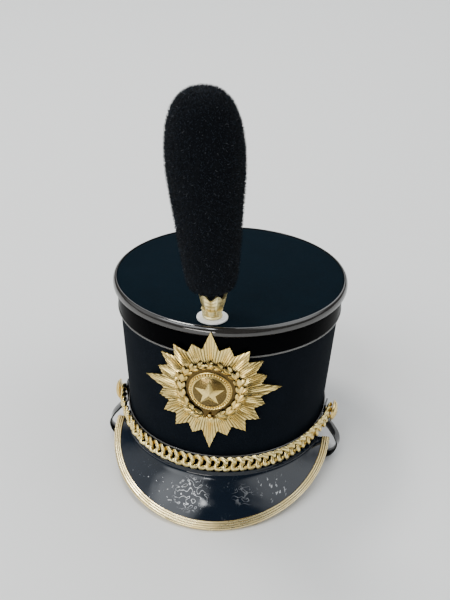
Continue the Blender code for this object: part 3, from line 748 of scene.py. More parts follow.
class Workbench:
    """Turns loose shapes into finished pieces of the resting hat."""

    def __init__(self, form: CrownForm, rest: Rest) -> None:
        """Keep the crown's form and the hat's place at rest."""
        self.form = form
        self.rest = rest

    def piece(self, name: str, shape: Shape, look: bpy.types.Material, slot: Slot,
              nodes: Sequence[str], crease_degrees: float = 40.0) -> bpy.types.Object:
        """Finish one piece and let it stand for its solids.

        Args:
            name: Plain name of the piece.
            shape: Mesh in the hat's own frame, which is used up.
            look: Material of the whole piece.
            slot: Not used.
            nodes: Solids that it stands for.
            crease_degrees: Angle past which an edge stays sharp.

        Returns:
            The piece, riding on the hat's one body.
        """
        bmesh.ops.transform(shape, matrix=self.rest.matrix, verts=shape.verts)
        mesh = bpy.data.meshes.new(name)
        shape.to_mesh(mesh)
        shape.free()
        return self.dress(name, mesh, look, slot, nodes, crease_degrees)

    def dress(self, name: str, mesh: bpy.types.Mesh, look: bpy.types.Material, slot: Slot,
              nodes: Sequence[str], crease_degrees: float = 40.0) -> bpy.types.Object:
        """Make a piece of a mesh that is already in its place at rest.

        Args:
            name: The piece's name.
            mesh: Its mesh.
            look: Its material.
            slot: Not used.
            nodes: The solids that it stands for.
            crease_degrees: Edges sharper than this stay sharp.

        Returns:
            The piece.
        """
        mesh.materials.append(look)
        mesh.shade_smooth()
        mesh.set_sharp_from_angle(angle=radians(crease_degrees))
        made = bpy.data.objects.new(name, mesh)
        bpy.context.scene.collection.objects.link(made)
        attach(made, "root")
        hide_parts(*nodes)
        triangles = sum(len(face.vertices) - 2 for face in mesh.polygons)
        log.info("%s: %d triangles", name, triangles)
        return made

    def ring(self, profile: Sequence[Point], rounding: float, fine: float = 0.0,
             steps: int = 180) -> Shape:
        """Carry a closed profile round the crown.

        Args:
            profile: Points of (stand-off, height).
            rounding: Radius given to the profile's corners.
            fine: Longest stretch left undivided along the profile, or 0 to leave it.
            steps: Steps round the crown.

        Returns:
            The ring in the hat's own frame.
        """
        radius = self.form.top_half_length
        moved = [(radius + out, height) for out, height in profile]
        shape = turned(moved, steps, True, rounding, fine)
        for vert in shape.verts:
            turn = atan2(vert.co.x, -vert.co.y)
            vert.co = self.form.point(turn, vert.co.z, hypot(vert.co.x, vert.co.y) - radius)
        return shape


@dataclass
class HatPart:
    """One sub-assembly of the hat, set out from the crown's form."""

    bench: Workbench

    @property
    def form(self) -> CrownForm:
        """Shape of the crown's cloth."""
        return self.bench.form


@dataclass
class CrownCloth(HatPart):
    """The hollow side wall and the flat top, both in black cloth."""

    wall_cloth: FeltedCloth = FeltedCloth(
        "black_cloth", (0.0020, 0.0034, 0.0056), (0.0072, 0.0106, 0.0160))
    top_cloth: FeltedCloth = FeltedCloth(
        "blue_black_cloth", (0.0003, 0.0034, 0.0066), (0.0010, 0.0090, 0.0160))
    wall_edge: float = 0.7 * MM
    top_edge: float = 1.0 * MM
    top_puff: float = 0.35 * MM
    longest_face: float = 6.0 * MM
    steps: int = 180

    def build(self) -> None:
        """Build both cloth pieces."""
        form = self.form
        wall = [(-form.wall, 0.0), (0.0, 0.0), (0.0, form.wall_top), (-form.wall, form.wall_top)]
        shape = self.bench.ring(wall, self.wall_edge, self.longest_face, self.steps)
        look = self.wall_cloth.material()
        self.bench.piece("crown_wall_cloth", shape, look, Slot.CLOTH, ["crown_body"])
        look = self.top_cloth.material()
        self.bench.piece("crown_top_cloth", self.top(), look, Slot.CLOTH, ["crown_top"], 60.0)

    def top(self) -> Shape:
        """Shape the top: a soft-edged disc that is pulled nearly flat.

        Returns:
            The disc in the hat's own frame.
        """
        form = self.form
        low = form.wall_top + form.clearance
        rings = [(k / 12, form.top_surface) for k in range(12)]
        edge = self.top_edge / form.top_half_length
        rounded = (1 - edge, form.top_surface - self.top_edge)
        rings += arc(rounded, (edge, self.top_edge), 90.0, -18.0, 6)
        rings += [(1.0, low), (0.0, low)]
        shape = turned(rings, self.steps)
        half_width, half_length = form.half_axes(form.height)
        reach = form.top_overhang - form.clearance
        for vert in shape.verts:
            share = hypot(vert.co.x, vert.co.y)
            if vert.co.z > low + MM:
                dent = 0.5 * noise.noise(Vector((vert.co.x * 3, vert.co.y * 3, 0.5)))
                vert.co.z -= self.top_puff * (1 - share**4) * dent
            vert.co.x *= half_width + reach
            vert.co.y *= half_length + reach
        return shape


@dataclass
class PatentBands(HatPart):
    """The rounded rim and the two bands round the crown, in glossy leather."""

    # The leathers are copies of one black: the bands' is darker with a weak coat, painted shade;
    # the rim's is lighter and warm, painting part of its warm highlight; the beads' is pale, a
    # painted highlight line.
    leather: PatentLeather = PatentLeather(
        "band_patent_leather", (0.0008, 0.0009, 0.0012), coat_index=1.10, coat_weight=0.35,
        scuffed=0.08)
    rim_leather: PatentLeather = PatentLeather(
        "rim_patent_leather", (0.016, 0.014, 0.012), coat_index=1.7, scuffed=0.5)
    bead_highlight_leather: PatentLeather = PatentLeather(
        "bead_highlight_patent_leather", (0.085, 0.082, 0.076), coat_index=1.7, scuffed=0.6)
    bead_height: float = 1.6 * MM
    top_band_width: float = 18.5 * MM
    base_band_width: float = 19.5 * MM
    band_edge: float = 0.28 * MM
    rim_edge: float = 0.2 * MM
    rim_square: float = 0.28
    rim_straight: float = 0.45
    longest_face: float = 3.0 * MM

    def build(self) -> None:
        """Build the rim and the bands."""
        form = self.form
        look = self.leather.material()
        rim_foot = form.height - form.rim_height
        rim_look = self.rim_leather.material()
        self.bench.piece(
            "rim_leather", self.rim(rim_foot), rim_look, Slot.PATENT, ["top_rim"], 70.0)
        foot = rim_foot - self.top_band_width
        self.build_band("top_band", foot, rim_foot, foot + self.bead_height / 2, look)
        top = self.base_band_width
        self.build_band("base_band", 0.0, top, top - self.bead_height / 2, look)

    def build_band(self, node: str, low: float, high: float, bead_at: float,
                   look: bpy.types.Material) -> None:
        """Build one band and the rolled bead along its edge, which is painted paler as a highlight
        line.

        Args:
            node: Solid that the band stands for.
            low: Height of the band's lower edge.
            high: Height of its upper edge.
            bead_at: Height of the bead's middle.
            look: Material of the band.
        """
        form = self.form
        back, face = form.clearance, form.band_face
        corners = [(back, low), (face, low), (face, high), (back, high)]
        shape = self.bench.ring(corners, self.band_edge, self.longest_face)
        self.bench.piece(node + "_leather", shape, look, Slot.PATENT, [node], 50.0)
        radius = self.bead_height / 2
        rolled = arc((form.bead_face - radius, bead_at), (radius, radius), 0.0, 30.0, 12)
        bead = self.bench.ring(rolled, 0.0)
        self.bench.piece(node + "_bead", bead, self.bead_highlight_leather.material(), Slot.PATENT, [], 70.0)

    def rim(self, rim_foot: float) -> Shape:
        """Shape the rim: a rolled leather edge, square below and rounded over above.

        Args:
            rim_foot: Height of the top band's upper edge.

        Returns:
            The rim in the hat's own frame.
        """
        form = self.form
        foot = rim_foot + form.clearance
        rise = form.height + form.clearance - foot
        face, reach = form.band_face, form.rim_face - form.band_face
        inner, straight = form.top_overhang, self.rim_straight * rise
        outline = [(form.clearance, foot), (face, foot)]
        outline.append((face + reach, foot + self.rim_square * rise))
        outline += arc(
            (inner, foot + straight), (face + reach - inner, rise - straight), 0.0, 11.25, 9)
        outline += [(inner, form.wall_top), (form.clearance, form.wall_top - form.clearance)]
        return self.bench.ring(outline, self.rim_edge)


@dataclass
class Peak(HatPart):
    """The downturned peak and the ribbed gilt binding folded over its edge."""

    # The peak's leather is a bluer, lighter copy of the black, which paints the bluish tone of its
    # reflections.
    leather: PatentLeather = PatentLeather(
        "peak_patent_leather", (0.0026, 0.0066, 0.0140), scuffed=0.8)
    metal: GiltMetal = GiltMetal("binding_gilt", (0.90, 0.75, 0.40), has_relief=True, browned_and_shaded=0.85)
    half_width: float = 94.5 * MM
    reach: float = 131.0 * MM
    ends_back: float = 26.0 * MM
    ends_height: float = -0.8 * MM
    drop: float = 31.5 * MM
    seam_height: float = -1.0 * MM
    thickness: float = 2.0 * MM
    bulge: float = 2.0 * MM
    flange: float = 4.5 * MM
    flange_foot: float = 1.9 * MM
    flange_rows: float = 0.07
    bend_rows: float = 0.24
    bend_share: float = 0.10
    seam_turn: float = radians(75.0)
    binding_width: float = 5.8 * MM
    binding_sheet: float = 0.6 * MM
    binding_slack: float = 0.06 * MM
    slot_depth: float = 0.3 * MM
    nose_swell: float = 0.24 * MM
    ribs: int = 3
    rib_rise: float = 0.42 * MM
    dents: float = 0.16 * MM
    # The curls and the stronger specks are painted reflections off crazed lacquer, pale colour over
    # a bump; the scratches and the fainter specks are pale marks.
    marks_and_glints_mm: Sequence[tuple[PaleMarkPattern, float, float, float, float, float]] = (
        (PaleMarkPattern.CURLS, -13.0, -113.7, -11.2, 17.0, 0.95),
        (PaleMarkPattern.CURLS, 30.7, -108.7, -10.6, 11.0, 0.12),
        (PaleMarkPattern.SCRATCHES, 53.5, -94.7, -8.8, 16.0, 0.45),
        (PaleMarkPattern.SPECKS, -50.2, -103.1, -13.7, 18.0, 0.55),
        (PaleMarkPattern.SPECKS, -34.0, -110.0, -14.0, 15.0, 0.80),
    )

    def build(self) -> None:
        """Build the peak and its binding."""
        shape = moulded(150, 60, self.surface, thick=True)
        turn = self.bench.rest.matrix
        marks = [
            Mark(kind, turn @ Vector((x * MM, y * MM, z * MM)), radius * MM, strength)
            for kind, x, y, z, radius, strength in self.marks_and_glints_mm
        ]
        leather = replace(self.leather, marks=marks)
        self.bench.piece("peak_leather", shape, leather.material(), Slot.PATENT, ["peak"], 50.0)
        self.build_binding()

    @property
    def seam_stand_off(self) -> float:
        """Stand-off of the peak's middle where it meets the base band."""
        form = self.form
        return form.band_face + form.clearance + self.thickness / 2

    def edge_point(self, turn: float) -> Vector:
        """Give a point on the free edge, a half ellipse in a sloping plane.

        Args:
            turn: Angle round the crown from the front.

        Returns:
            The point in the hat's own frame.
        """
        forward = cos(turn)
        return Vector((
            self.half_width * sin(turn),
            -self.ends_back - (self.reach - self.ends_back) * forward,
            self.ends_height - (self.ends_height + self.drop) * forward,
        ))

    def section(self, across_hat: float) -> tuple[Vector, Vector, Vector]:
        """Lay out the peak along one line from seam to edge.

        Args:
            across_hat: Place across the hat, -1 to 1.

        Returns:
            The seam point, the edge point and the way up from the peak.
        """
        seam = self.form.point(self.seam_turn * across_hat, 0.0, self.seam_stand_off)
        seam.z = self.seam_height
        turn = pi / 2 * across_hat
        edge = self.edge_point(turn)
        along = self.edge_point(turn + 1e-3) - self.edge_point(turn - 1e-3)
        normal = along.cross(edge - seam).normalized()
        return seam, edge, -normal if normal.z < 0 else normal

    def over(self, across_hat: float, share: float, lift: float) -> Vector:
        """Give a point of the sloping leather.

        Args:
            across_hat: Place across the hat, -1 to 1.
            share: Share of the way from seam to edge.
            lift: Height over the middle of the leather.

        Returns:
            The point in the hat's own frame.
        """
        seam, edge, normal = self.section(across_hat)
        longest = hypot(self.reach - self.form.base_half_length, self.drop)
        narrowing = (edge - seam).length / longest
        bulge = self.bulge * 4 * share * (1 - share) * narrowing**2
        return seam.lerp(edge, share) + normal * (bulge + lift)

    def surface(self, first: float, second: float, side: float) -> Vector:
        """Give a point of the peak's skin: turned-up flange, bend, and slope with shallow dents.

        Args:
            first: Share of the way across the hat.
            second: Share of the rows from the flange's upper edge to the free edge.
            side: 0 on the upper face, 1 on the lower face.

        Returns:
            The point in the hat's own frame.
        """
        across_hat = 2 * first - 1
        lift = self.thickness / 2 * (1 - 2 * side)
        turn = self.seam_turn * across_hat
        stand_off = self.seam_stand_off + lift
        if second <= self.flange_rows:
            height = self.flange + (self.flange_foot - self.flange) * second / self.flange_rows
            return self.form.point(turn, height, stand_off)
        if second <= self.bend_rows:
            t = (second - self.flange_rows) / (self.bend_rows - self.flange_rows)
            start = self.form.point(turn, self.flange_foot, stand_off)
            corner = self.over(across_hat, 0.0, lift)
            corner.z += 0.3 * lift
            end = self.over(across_hat, self.bend_share, lift)
            return start * (1 - t) ** 2 + corner * 2 * t * (1 - t) + end * t**2
        t = (second - self.bend_rows) / (1 - self.bend_rows)
        point = self.over(across_hat, self.bend_share + (1 - self.bend_share) * t, lift)
        normal = self.section(across_hat)[2]
        fade = min(1.0, 4 * t) * min(1.0, 3 * (1 - t)) * min(1.0, 6 * (1 - abs(across_hat)))
        wave = noise.noise(point * 55.0) + 0.5 * noise.noise(point * 140.0 + Vector((3, 1, 7)))
        return point + normal * (self.dents * fade * wave)

    def build_binding(self) -> None:
        """Build the binding, its outline closed round the peak's edge."""
        slot = self.thickness / 2 + self.binding_slack
        outer = self.thickness / 2 + self.form.clearance + self.binding_sheet
        nose = 1.5 * self.form.clearance + 1.5 * self.binding_sheet
        # The third value of each outline point is its relief; the underside and the slot are set
        # low as painted shade.
        outline = [(-self.binding_width, slot, 0.3)]
        steps = 8 * self.ribs
        for i in range(steps + 1):
            share = i / steps
            wave = (0.5 - 0.5 * cos(2 * pi * self.ribs * share)) ** 0.7
            height = outer + 0.4 * self.binding_sheet * share + self.rib_rise * (wave - 0.75)
            outline.append((-self.binding_width * (1 - share), height, wave))
        folded = arc((0.0, 0.0), (nose, outer + self.nose_swell), 67.5, -22.5, 7)
        outline += [(out, up, 0.9) for out, up in folded]
        for share in (0.0, 0.35, 0.7, 1.0):
            under = outer + 0.4 * self.binding_sheet * (1 - share)
            outline.append((-self.binding_width * share, -under, 0.6))
        outline.append((-self.binding_width, -slot, 0.0))
        outline += [(self.slot_depth, -slot, 0.0), (self.slot_depth, slot, 0.0)]
        count = len(outline)

        def place(first: float, second: float, side: float) -> Vector:
            """Give a point of the binding's skin."""
            out, up = outline[round(second * count) % count][:2]
            return self.past_edge(2 * first - 1, out, up)

        def relief(first: float, second: float, side: float) -> float:
            """Tell how bright a point of the skin is painted: bright on the ribs and the folded
            nose, dark in the grooves, partly browning and partly painted shade, and darker on the
            underside and in the slot as painted shade.
            """
            return outline[round(second * count) % count][2]

        shape = moulded(190, count, place, relief=relief)
        look = self.metal.material()
        self.bench.piece("peak_binding", shape, look, Slot.GILT, ["peak_edge"], 60.0)

    def past_edge(self, across_hat: float, out: float, up: float) -> Vector:
        """Give a point past the free edge, or back from it on the peak.

        Args:
            across_hat: Place across the hat, -1 to 1.
            out: Distance past the edge.
            up: Height over the middle of the leather.

        Returns:
            The point in the hat's own frame.
        """
        seam, edge, normal = self.section(across_hat)
        length = (edge - seam).length
        if out <= 0:
            return self.over(across_hat, 1 + out / length, up)
        inner = self.over(across_hat, 1 - self.binding_width / length, 0.0)
        return edge + (edge - inner).normalized() * out + normal * up


@dataclass
class SideButtons(HatPart):
    """Two domed gilt buttons, each on the shank that holds chain and strap."""

    metal: GiltMetal = GiltMetal("button_gilt", (0.92, 0.71, 0.29))
    turn: float = radians(84.0)
    height: float = 20.0 * MM
    diameter: float = 19.0 * MM
    dome: float = 3.9 * MM
    edge: float = 1.2 * MM
    shank: float = 3.4 * MM
    strap_thickness: float = 1.5 * MM
    link_half_depth: float = 2.5 * MM
    steps: int = 64

    @property
    def strap_stand_off(self) -> float:
        """Stand-off of the strap's middle under a button."""
        form = self.form
        return form.bead_face + form.clearance + self.strap_thickness / 2

    @property
    def chain_stand_off(self) -> float:
        """Stand-off of the chain's middle under a button."""
        return (self.strap_stand_off + self.strap_thickness / 2 + self.form.clearance
                + self.link_half_depth)

    def frame(self, side: Side) -> Matrix:
        """Give the matrix that sets +Z straight out from the cloth at a button.

        Args:
            side: The side that the button is on.

        Returns:
            The matrix, in the hat's own frame.
        """
        turn = self.turn * side.value
        along, out = self.form.axes(turn, self.height)
        axes = Matrix((along, out.cross(along), out)).transposed().to_4x4()
        return Matrix.Translation(self.form.point(turn, self.height)) @ axes

    def outline(self) -> list[Point]:
        """Give a button's outline, from the shank's root to the middle of the dome.

        Returns:
            Points of (radius, height over the cloth).
        """
        radius, shank = self.diameter / 2, self.shank / 2
        foot = self.form.bead_face + self.form.clearance
        back = self.chain_stand_off + self.link_half_depth + self.form.clearance
        brim = back + self.edge
        outline = [(0.0, foot), (shank, foot), (shank, back),
                   (0.90 * radius, back), (0.97 * radius, back + 0.12 * self.edge)]
        rolled = (0.955 * radius, back + 0.62 * self.edge)
        outline += arc(rolled, (0.045 * radius, 0.42 * self.edge), -60.0, 30.0, 7)
        outline.append((0.90 * radius, brim - 0.25 * self.edge))
        domed = (0.885 * radius, 0.96 * self.dome)
        outline += arc((0.0, brim - 0.2 * self.edge), domed, 2.0, 6.4, 14)
        return outline + [(0.0, brim + 0.76 * self.dome)]

    def build(self) -> None:
        """Build both buttons."""
        look = self.metal.material()
        for side in Side:
            shape = turned(self.outline(), self.steps)
            bmesh.ops.transform(shape, matrix=self.frame(side), verts=shape.verts)
            word = side.name.lower()
            self.bench.piece(word + "_button", shape, look, Slot.GILT, ["button_" + word], 50.0)


@dataclass
class CurbChain(HatPart):
    """The gilt curb chain that hangs across the front from button to button.

    Each row of ``line`` gives the turn as a share of the buttons' turn, the height as a share of
    the way up from the chain's front height to the buttons, and the stand-off as a share of the way
    out to its end.
    """

    buttons: SideButtons
    metal: GiltMetal = GiltMetal("chain_gilt", (0.95, 0.79, 0.36), has_relief=True)
    pitch: float = 6.9 * MM
    length: float = 8.3 * MM
    width: float = 10.2 * MM
    wire: float = 3.0 * MM
    depth: float = 2.5 * MM
    lobe: float = 0.8 * MM
    twist: float = 1.2 * MM
    slant: float = 0.30
    tip: float = radians(6.0)
    front_height: float = 13.4 * MM
    end_inset: float = 1.35 * MM
    fine_steps: int = 600
    line: Sequence[tuple[float, float, float]] = (
        (0.00, 0.00, 0.0),
        (0.30, 0.00, 0.0),
        (0.50, 0.08, 0.0),
        (0.64, 0.32, 0.0),
        (0.76, 0.60, 0.1),
        (0.85, 0.80, 0.7),
        (0.93, 0.93, 1.0),
        (1.00, 1.00, 1.0),
    )

    def point(self, share: float) -> tuple[Vector, Vector]:
        """Give a place on the chain's line.

        Args:
            share: Place from button to button, -1 to 1.

        Returns:
            The point and the way out from the crown there.
        """
        form = self.form
        height_share, out_share = smooth_between(self.line, abs(share))
        turn = self.buttons.turn * share
        height = self.front_height + (self.buttons.height - self.front_height) * height_share
        near = form.bead_face + form.clearance + self.buttons.link_half_depth
        stand_off = near + (self.buttons.chain_stand_off - near) * out_share
        out = form.axes(turn, height)[1]
        return form.point(turn, height) + out * stand_off, out

    def places(self) -> list[Matrix]:
        """Give each link's place, X along the chain, Y up and Z out, equally spaced.

        Returns:
            One matrix a link, from one button to the other.
        """
        fine = self.fine_steps
        line = [self.point(2 * i / fine - 1)[0] for i in range(fine + 1)]
        lengths = [0.0]
        for start, end in zip(line, line[1:]):
            lengths.append(lengths[-1] + (end - start).length)
        run = lengths[-1] - 2 * self.end_inset
        links = round(run / self.pitch) + 1
        places = []
        near = 0
        for index in range(links):
            wanted = self.end_inset + run * index / (links - 1)
            while lengths[near + 1] < wanted:
                near += 1
            part = (wanted - lengths[near]) / (lengths[near + 1] - lengths[near])
            centre, out = self.point(2 * (near + part) / fine - 1)
            along = (line[min(near + 2, fine)] - line[max(near - 1, 0)]).normalized()
            out = (out - along * out.dot(along)).normalized()
            axes = Matrix((along, out.cross(along), out)).transposed().to_4x4()
            places.append(Matrix.Translation(centre) @ axes)
        return places

    def centre_line(self, angle: float) -> Vector:
        """Give a point down the middle of a link's wire, in the link's own axes.

        Args:
            angle: Angle round the link.

        Returns:
            The point.
        """
        across = self.width / 2 * sin(angle)
        return Vector((
            self.length / 2 * cos(angle) + self.slant * across,
            across,
            self.twist * sin(2 * angle),
        ))

    def wire_skin(self, first: float, second: float, side: float) -> Vector:
        """Give a point of a link's wire, which is swollen at the lobes above and below.

        Args:
            first: Share round the link, 0 to 1.
            second: Share round the wire, 0 to 1.
            side: Not used: the wire has no back.

        Returns:
            The point in the link's own axes.
        """
        angle, roll = 2 * pi * first, 2 * pi * second
        middle = self.centre_line(angle)
        run = (self.centre_line(angle + 0.01) - self.centre_line(angle - 0.01)).normalized()
        across = run.cross(Vector((0, 0, 1))).normalized()
        face = across.cross(run)
        swell = self.lobe * sin(angle) ** 2
        wide = self.wire / 2 + swell
        return middle + across * (wide * cos(roll)) + face * (self.depth / 2 * sin(roll))

    def wire_relief(self, first: float, second: float, side: float) -> float:
        """Tell how far forward a point of a link's wire lies, which the finish paints as light on
        the front and shade on the back.
        """
        return 0.45 + self.wire_skin(first, second, side).z / (1.6 * self.buttons.link_half_depth)

    def build(self) -> None:
        """Build the chain, every other link turned a little further."""
        shapes = []
        for index, place in enumerate(self.places()):
            link = moulded(28, 10, self.wire_skin, relief=self.wire_relief)
            tip = Matrix.Rotation(self.tip if index % 2 else -self.tip, 4, "Y")
            bmesh.ops.transform(link, matrix=place @ tip, verts=link.verts)
            shapes.append(link)
        look = self.metal.material()
        self.bench.piece("curb_chain", joined(shapes), look, Slot.GILT, ["chain"], 60.0)


@dataclass
class ChinStrap(HatPart):
    """The leather chin strap: a loop below each button, tucked round inside the crown's back.

    Each row of ``loop_mm`` gives a point's distance back along the crown from the button, its
    stand-off and its height, in millimetres.
    """

    buttons: SideButtons
    leather: PatentLeather = PatentLeather("strap_patent_leather", scuffed=0.5)
    width: float = 12.0 * MM
    end: float = 7.0 * MM
    tuck_height: float = 8.5 * MM
    tuck_back: float = 42.0 * MM
    tuck_points: int = 7
    turn_depth: float = 4.0 * MM
    step: float = 1.8 * MM
    edge: float = 0.45 * MM
    loop_mm: Sequence[tuple[float, float, float]] = (
        (-0.8, 5.8, 8.4),
        (-2.4, 11.8, 3.4),
        (-5.4, 17.6, -2.4),
        (-9.6, 19.2, -8.4),
        (-14.4, 15.0, -13.6),
        (-17.4, 7.2, -15.5),
        (-17.0, -0.8, -14.1),
        (-11.6, -5.4, -10.0),
        (-2.0, -6.0, -4.6),
        (12.0, -5.4, 0.8),
        (28.0, -4.6, 4.8),
    )

    @property
    def tuck_stand_off(self) -> float:
        """Stand-off of the strap's middle where it lies inside the wall."""
        form = self.form
        return -(form.wall + 2 * form.clearance + self.buttons.strap_thickness / 2)

    def route(self) -> list[tuple[float, float, float]]:
        """Give the (turn, stand-off, height) points from one button to the other.

        Returns:
            The points, which the strap runs through smoothly.
        """
        radius = self.form.half_axes(0.0)[1]
        top = self.buttons.height
        flat = self.buttons.strap_stand_off
        side = [(0.0, flat, top + lift) for lift in (self.end, 0.0, -self.end)]
        side += [(back * MM, out * MM, height * MM) for back, out, height in self.loop_mm]
        side.append((self.tuck_back, self.tuck_stand_off, self.tuck_height - MM))
        points = [(self.buttons.turn + back / radius, out, height) for back, out, height in side]
        start = points[-1][0]
        middle = []
        for i in range(self.tuck_points):
            turn = start + 2 * (pi - start) * (i + 1) / (self.tuck_points + 1)
            middle.append((turn, self.tuck_stand_off, self.tuck_height))
        back_again = [(2 * pi - turn, out, height) for turn, out, height in points[::-1]]
        return points + middle + back_again

    def centre(self, point: Sequence[float]) -> Vector:
        """Give the place of a (turn, stand-off, height) point.

        Args:
            point: Turn, stand-off and height.

        Returns:
            The place in the hat's own frame.
        """
        turn, stand_off, height = point
        level = max(height, 0.0)
        place = self.form.point(turn, level) + self.form.axes(turn, level)[1] * stand_off
        place.z = height
        return place

    def samples(self) -> list[tuple[float, ...]]:
        """Give closely spaced points on a smooth line through the route.

        Returns:
            Points of (turn, stand-off, height).
        """
        points = self.route()
        last = len(points) - 1
        samples = []
        for i in range(last):
            before, start, end, after = (points[min(max(i + k, 0), last)] for k in (-1, 0, 1, 2))
            count = max(1, ceil((self.centre(end) - self.centre(start)).length / self.step))
            for k in range(count):
                t = k / count
                samples.append(tuple(
                    b + 0.5 * t * (
                        (c - a) + t * ((2 * a - 5 * b + 4 * c - d) + t * (3 * (b - c) + d - a)))
                    for a, b, c, d in zip(before, start, end, after)
                ))
        samples.append(points[last])
        return samples

    def frames(self) -> list[tuple[Vector, Vector, Vector]]:
        """Give the middle of the strap, its way across and its face, at every sample.

        Returns:
            A middle, a way across and a way out for each sample.
        """
        samples = self.samples()
        centres = [self.centre(point) for point in samples]
        last = len(centres) - 1
        frames = []
        for i, (point, centre) in enumerate(zip(samples, centres)):
            along = (centres[min(i + 1, last)] - centres[max(i - 1, 0)]).normalized()
            ring, out = self.form.axes(point[0], 0.0)
            inside = min(max(-point[1] / self.turn_depth, 0.0), 1.0)
            hanging = ring - along * ring.dot(along)
            tucked = along.cross(out)
            tucked = -tucked if tucked.dot(hanging) < 0 else tucked
            across = (hanging * (1 - inside) + tucked * inside).normalized()
            if frames and across.dot(frames[-1][1]) < 0:
                across = -across
            frames.append((centre, across, along.cross(across).normalized()))
        return frames

    def build(self) -> None:
        """Build the strap with softened edges."""
        frames = self.frames()
        half, thick = self.width / 2, self.buttons.strap_thickness / 2
        corners = []
        for x_side, y_side, first in ((1, 1, 0), (-1, 1, 90), (-1, -1, 180), (1, -1, 270)):
            middle = (x_side * (half - self.edge), y_side * (thick - self.edge))
            corners += arc(middle, (self.edge, self.edge), first, 30.0, 4)
        count = len(corners)
        last = len(frames) - 1

        def place(first: float, second: float, side: float) -> Vector:
            """Give a point of the strap's skin.

            Args:
                first: Share along the strap, 0 to 1.
                second: Share across it, 0 to 1.
                side: Not used.

            Returns:
                The point in the hat's own frame.
            """
            centre, across, face = frames[round(first * last)]
            x, y = corners[round(second * count) % count]
            return centre + across * x + face * y

        shape = moulded(last, count, place)
        look = self.leather.material()
        self.bench.piece("strap_leather", shape, look, Slot.PATENT, ["chin_strap"], 50.0)


